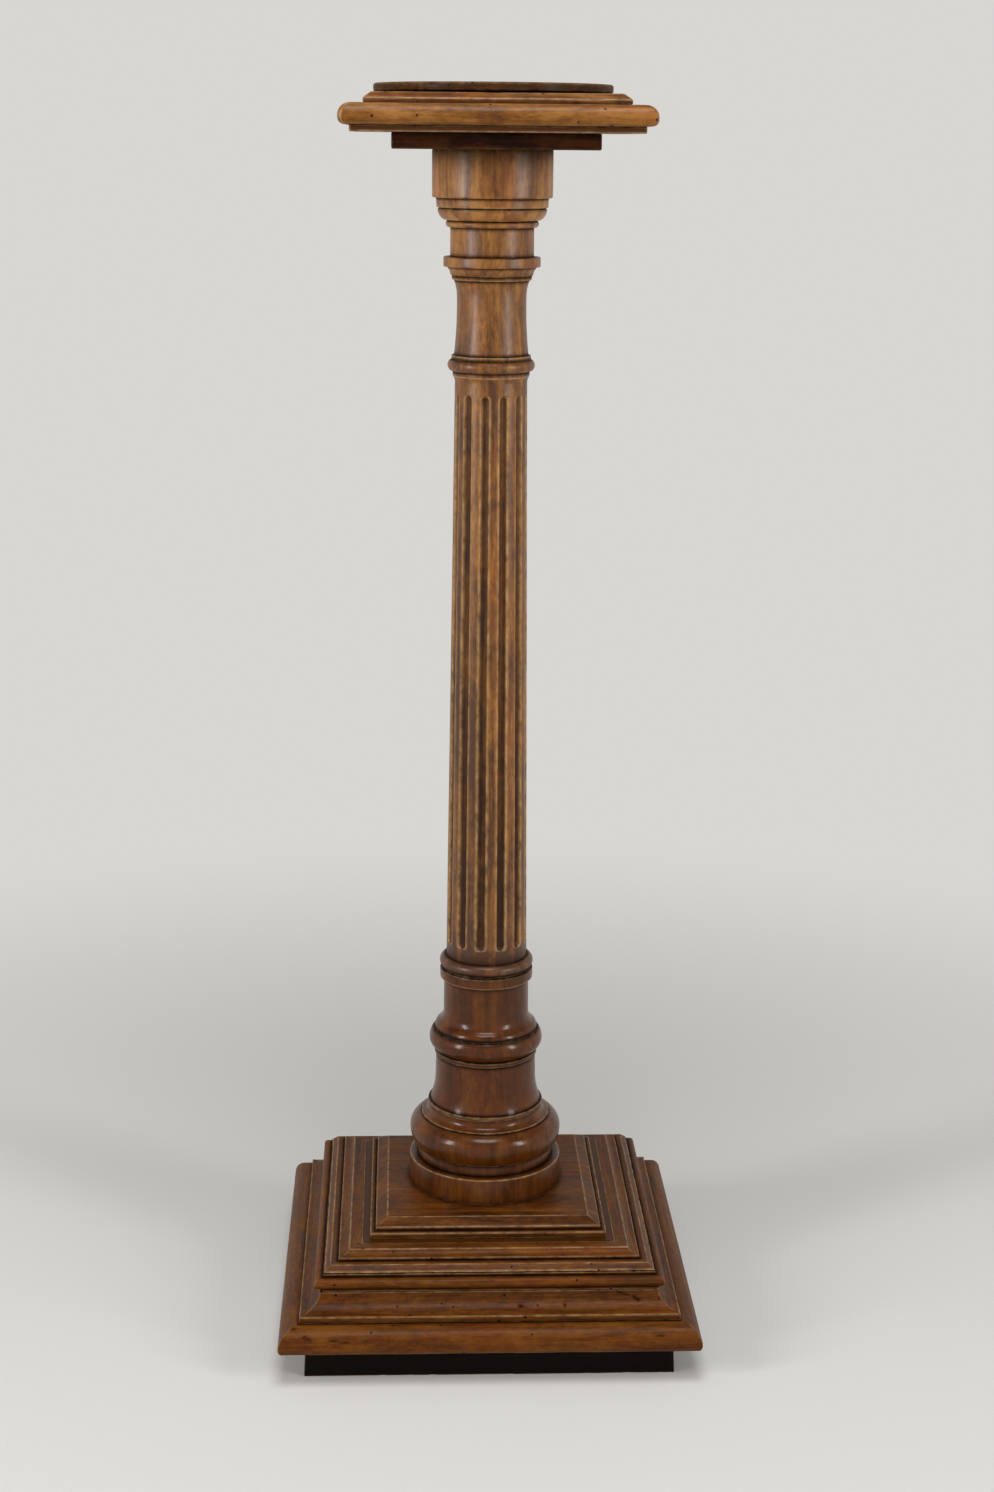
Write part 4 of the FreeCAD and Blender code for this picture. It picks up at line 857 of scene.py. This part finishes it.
def plain(name, hex_code, roughness, metallic=0.0):
    """A surface of one colour with a little uneven tone."""
    material, tree = new_material(name)
    uneven = sized_noise(tree, add(tree, "TexCoord").outputs["Object"], UNEVEN, 4.0)
    shade = add(tree, "Math", {0: uneven, 1: 0.24}, operation="MULTIPLY")
    base = add(tree, "Mix", {FACTOR: shade, FIRST: colour(hex_code), SECOND: colour(UNEVEN_DARK)},
               data_type="RGBA")
    dull = add(tree, "Math", {0: uneven, 1: 0.25}, operation="MULTIPLY")
    dull = add(tree, "Math", {0: dull, 1: roughness - 0.12}, operation="ADD")
    shader = add(tree, "BsdfPrincipled", {"Base Color": base, "Roughness": dull, "Metallic": metallic})
    add(tree, "OutputMaterial", {"Surface": shader})
    return material


# Walnut's colours are its dark, middle and light wood, its worn arrises, and the darkest colour of pores,
# dirt and painted shade.
finishes = {
    # The base is a deep amber brown, darkest in its hollows, where dirt and painted shade lie.
    "base_walnut": walnut("waxed_base_walnut", "341a05", "582f08", "744410", "a98760", "0a0401",
                          rough=0.46, gloss=0.11, coat=0.05, mottling=0.82, wormy=True),
    # The foot and the abacus are painted nearly black: painted shade for the shade under the base's
    # overhang and under the cap slab.
    "dark_walnut": walnut("shade_black_walnut", "0c0502", "281206", "46240c", "5a3a22", "030100",
                          rough=0.5, gloss=0.09, coat=0.0, tone_reach=0.2),
    # The lower shaft and the column's base are redder and shinier than the rest.
    "red_walnut": walnut("reddish_walnut", "3a1c06", "552c08", "6b3e0f", "b08c66", "0b0401",
                         rough=0.32, gloss=0.11, coat=0.34, coat_rough=0.16, mottling=0.68,
                         streaky=0.12),
    # The fluted shaft is a golden brown that darkens towards its foot.
    "golden_walnut": walnut("golden_walnut", "4a280c", "84521f", "b07a3a", "c99d62", "1c0b03",
                            rough=0.44, gloss=0.31, coat=0.31, coat_rough=0.33, mottling=0.85,
                            tone_reach=0.12, streaky=0.10),
    # The cap's boards are the most golden.
    "cap_walnut": walnut("cap_walnut", "55300f", "80501c", "9c6a32", "b9946a", "150902",
                         rough=0.44, gloss=0.18, coat=0.10, tone_reach=0.16, wormy=True),
    # The inner boards, the glue blocks and the wedge are pale pine, gone yellow.
    "pine": plain("aged_pine", "8c6238", 0.7),
    # The screws, the pivot pin and its nut and washer are dull iron, the bush is aged brass, and the
    # washer that bears the top is worn brown leather.
    "iron": plain("dull_iron", "55504b", 0.45, 1.0),
    "brass": plain("aged_brass", "9a7a42", 0.35, 1.0),
    "leather": plain("worn_leather", "3a2216", 0.7),
}
node_slots = {}
for node_name, cad_node in nodes.items():
    slot_name = cad_node.data.materials[0].name.split(".")[0]
    node_slots[node_name] = slot_name
    for index in range(len(cad_node.data.materials)):
        cad_node.data.materials[index] = finishes[slot_name]

# ---------------------------------------------------------------------------------------------------
# The stand
# ---------------------------------------------------------------------------------------------------
# The column base's tenon: the level of its end, and a level above the kerf and a radius outside it.
TENON_END = 36.2
ABOVE_KERF = 70
OUTSIDE_KERF = 21.9


def outside_kerf(out, up):
    """Leaves out the saw kerf in the end of the column base's tenon. The wedge fills it."""
    return up > ABOVE_KERF or out > OUTSIDE_KERF


# The sections of the base, the cap and the column stand as walls for the painted shade.
for walled in ("foot_rail", "thumb_moulding", "cavetto_moulding", "nosing_moulding", "cove_moulding"):
    add_walls(*section(f"{walled}_right"))
for walled in ("plinth_block", "abacus_block", "under_board", "cap_slab", "cap_step"):
    add_walls(*section(walled, offset=PAST_SCREWS))
for walled in ("lower_shaft", "fluted_shaft", "turning_top"):
    add_walls(*section(walled, turn=45.0))
add_walls(*section("column_base", turn=45.0, keep=outside_kerf))

# Scars on the front of the base: (centre, direction, length, width, depth).
GOUGED_CAVETTO = {
    "scars": [((130.0, -166.6, 78.0), (1.0, -0.12, -0.25), 11.0, 2.6, 0.9),
              ((143.0, -168.6, 74.0), (1.0, -0.2, -0.5), 6.0, 3.2, 1.1),
              ((30.2, -173.2, 69.1), (1.0, 0.0, -0.3), 2.0, 2.6, 0.8),
              ((73.2, -172.7, 69.5), (0.2, -0.3, -1.0), 3.0, 2.0, 0.7),
              ((-77.8, -182.3, 65.5), (1.0, 0.0, 0.0), 1.0, 2.4, 0.6)],
    "extra": np.concatenate([np.linspace(0.68, 0.88, 32), np.linspace(0.15, 0.19, 8),
                             np.linspace(0.40, 0.44, 8), np.linspace(-0.44, -0.41, 6)]),
}
CUT_THUMB = {
    "scars": [((-177.0, -201.8, 51.4), (1.0, -0.3, -0.45), 8.0, 2.0, 0.7),
              ((-146.0, -203.4, 48.8), (1.0, -0.1, -0.12), 20.0, 1.8, 0.6),
              ((-189.5, -193.1, 57.6), (1.0, 0.1, 0.0), 1.0, 2.6, 0.7),
              ((163.5, -202.1, 50.9), (1.0, 0.0, 0.2), 9.0, 1.8, 0.5)],
    "extra": np.concatenate([np.linspace(-0.93, -0.64, 50), np.linspace(0.77, 0.84, 14)]),
}
for number, side in enumerate(SIDES):
    strip("foot_rail", side, 100 + number, tone=0.12)
    strip("thumb_moulding", side, 110 + number, tone=0.52 + 0.05 * number,
          **(CUT_THUMB if side == "front" else {}))
    strip("cavetto_moulding", side, 120 + number, tone=0.42 + 0.04 * number,
          **(GOUGED_CAVETTO if side == "front" else {}))
    strip("nosing_moulding", side, 130 + number, tone=0.50 + 0.06 * number)
    strip("cove_moulding", side, 140 + number, tone=0.42 + 0.05 * number)
squared("plinth_block", 150, tone=0.45, bore=22.15, meets_round=1)
turned("column_base", 160, keep=outside_kerf, start=(0.0, TENON_END))
turned("lower_shaft", 170)
# The band at the drum's head is a painted shadow under the cap, partly a dark stain there.
fluted("fluted_shaft", 180, tones=((372, 0.0), (470, 0.20), (700, 0.33), (950, 0.42), (1160, 0.66)),
       dark_bands=[(1166.0, 19.0, 1.0)])
squared("abacus_block", 190, tone=0.62, bore=17.15, corner=1.2, meets_round=-1)
squared("under_board", 200, tone=0.0, bore=15.0)
squared("cap_slab", 210, tone=0.52, bore=11.05, corner=4.0)
squared("cap_step", 220, tone=0.50, bore=11.05, meets_round=1)
# Its band darkens the whole turning top.
turned("turning_top", 230, "turntable", columns=256, turn=45.0, tone=0.3, dark_bands=[(1216.0, 40.0, 0.62)],
       grain_axes=LEVEL_GRAIN)

# ---------------------------------------------------------------------------------------------------
# Floor, backdrop, light and camera
# ---------------------------------------------------------------------------------------------------
# From here on, lengths are in metres. The floor is flat to a radius, sweeps up in a cove, and goes on to
# a height.
FLOOR_RADIUS, COVE_RADIUS, STAGE_HEIGHT = 5.0, 1.0, 4.5
STAGE_SECTORS = 96
INNER_RADIUS = 0.9
# Between these distances from the middle the floor goes over from lit to an even pale tone.
LIT_WITHIN, PALE_BEYOND = 0.45, 1.7


def stage_sheet():
    """A round pale floor whose rim sweeps up into the backdrop."""
    line = [(INNER_RADIUS, 0.0), (FLOOR_RADIUS, 0.0)]
    line += [(FLOOR_RADIUS + COVE_RADIUS * math.sin(t), COVE_RADIUS - COVE_RADIUS * math.cos(t))
             for t in np.linspace(0.1, 1.5, 14)]
    line += [(FLOOR_RADIUS + COVE_RADIUS, COVE_RADIUS), (FLOOR_RADIUS + COVE_RADIUS, STAGE_HEIGHT)]
    sectors = range(STAGE_SECTORS)
    angles = [k * 2 * math.pi / STAGE_SECTORS for k in sectors]
    vertices = [(0.0, 0.0, 0.0)]
    for out, up in line:
        vertices += [(out * math.cos(angle), out * math.sin(angle), up) for angle in angles]
    faces = [(0, 1 + k, 1 + (k + 1) % STAGE_SECTORS) for k in sectors]
    for ring in range(len(line) - 1):
        first = 1 + ring * STAGE_SECTORS
        second = first + STAGE_SECTORS
        faces += [(first + k, second + k, second + (k + 1) % STAGE_SECTORS, first + (k + 1) % STAGE_SECTORS)
                  for k in sectors]
    mesh = bpy.data.meshes.new("stage_sheet")
    mesh.from_pydata(vertices, [], faces)
    mesh.update()
    mesh.shade_smooth()
    mesh.materials.append(pale_stage())
    sheet = bpy.data.objects.new("stage_sheet", mesh)
    bpy.context.scene.collection.objects.link(sheet)


def pale_stage():
    """Away from the object the sheet shows one pale tone from every side, and near it the lit floor."""
    material, tree = new_material("pale_stage")
    lit = add(tree, "BsdfPrincipled", {"Base Color": colour("e6e4e0"), "Roughness": 0.9})
    away = add(tree, "VectorMath", {0: add(tree, "TexCoord").outputs["Object"]}, operation="LENGTH")
    far = add(tree, "MapRange", {"Value": away.outputs["Value"], "From Min": LIT_WITHIN,
                                 "From Max": PALE_BEYOND}, interpolation_type="SMOOTHSTEP")
    path = add(tree, "LightPath").outputs
    seen = add(tree, "Math", {0: path["Is Camera Ray"], 1: path["Is Glossy Ray"]}, operation="ADD")
    seen = add(tree, "Math", {0: seen, 1: path["Is Transmission Ray"]}, operation="ADD", use_clamp=True)
    glow = add(tree, "Emission", {"Color": colour("d8d6d2"), "Strength": 1.0})
    share = add(tree, "Math", {0: far, 1: seen}, operation="MULTIPLY")
    add(tree, "OutputMaterial", {"Surface": add(tree, "MixShader", {0: share, 1: lit, 2: glow})})
    return material


def area_light(name, place, target, width, height, watts):
    """A soft white light that faces a target."""
    data = bpy.data.lights.new(name, "AREA")
    data.shape = "RECTANGLE"
    data.size, data.size_y = width, height
    data.energy = watts
    light = bpy.data.objects.new(name, data)
    light.location = place
    light.rotation_euler = (Vector(target) - Vector(place)).to_track_quat("-Z", "Y").to_euler()
    bpy.context.scene.collection.objects.link(light)


stage_sheet()
area_light("key_left", (-1.95, -1.15, 1.25), (0, 0, 0.95), 0.40, 1.15, 27)
area_light("key_right", (1.80, -1.30, 1.25), (0, 0, 0.95), 0.40, 1.15, 22)
area_light("top", (0, -0.9, 3.2), (0, 0, 0.4), 1.2, 1.2, 38)
world = bpy.data.worlds.new("studio")
world.use_nodes = True
world.node_tree.nodes.clear()
add(world.node_tree, "OutputWorld", {
    "Surface": add(world.node_tree, "Background", {"Color": colour("ffffff"), "Strength": 0.20})})
bpy.context.scene.world = world

# The camera stands where the photograph's did: its distance and height, its turn round the object, its
# aim and a slight roll, and its focal length in pixels of the photograph.
DISTANCE = 2.296
HEIGHT = 1.172
TURN = math.radians(-2.097)
PAN, TILT, ROLL = math.radians(0.221), math.radians(14.274), math.radians(0.521)
FOCAL_PIXELS = 2393.3
PHOTO_HEIGHT = 1492
SENSOR_HEIGHT = 36.0
level_right = Vector((math.cos(PAN), -math.sin(PAN), 0))
level_ahead = Vector((math.sin(PAN), math.cos(PAN), 0))
lens_up = math.sin(TILT) * level_ahead + math.cos(TILT) * Vector((0, 0, 1))
ahead = math.cos(TILT) * level_ahead - math.sin(TILT) * Vector((0, 0, 1))
right = math.cos(ROLL) * level_right + math.sin(ROLL) * lens_up
above = -math.sin(ROLL) * level_right + math.cos(ROLL) * lens_up
camera_data = bpy.data.cameras.new("camera")
camera_data.sensor_fit = "VERTICAL"
camera_data.sensor_height = SENSOR_HEIGHT
camera_data.lens = FOCAL_PIXELS * SENSOR_HEIGHT / PHOTO_HEIGHT
camera = bpy.data.objects.new("camera", camera_data)
stands_at = Vector((math.sin(TURN) * DISTANCE, -math.cos(TURN) * DISTANCE, HEIGHT))
turned_by = Matrix.Rotation(TURN, 3, "Z")
axes = Matrix([turned_by @ right, turned_by @ above, -(turned_by @ ahead)]).transposed()
camera.matrix_world = Matrix.Translation(stands_at) @ axes.to_4x4()
bpy.context.scene.collection.objects.link(camera)
bpy.context.scene.camera = camera
bpy.context.scene.view_settings.view_transform = "Standard"
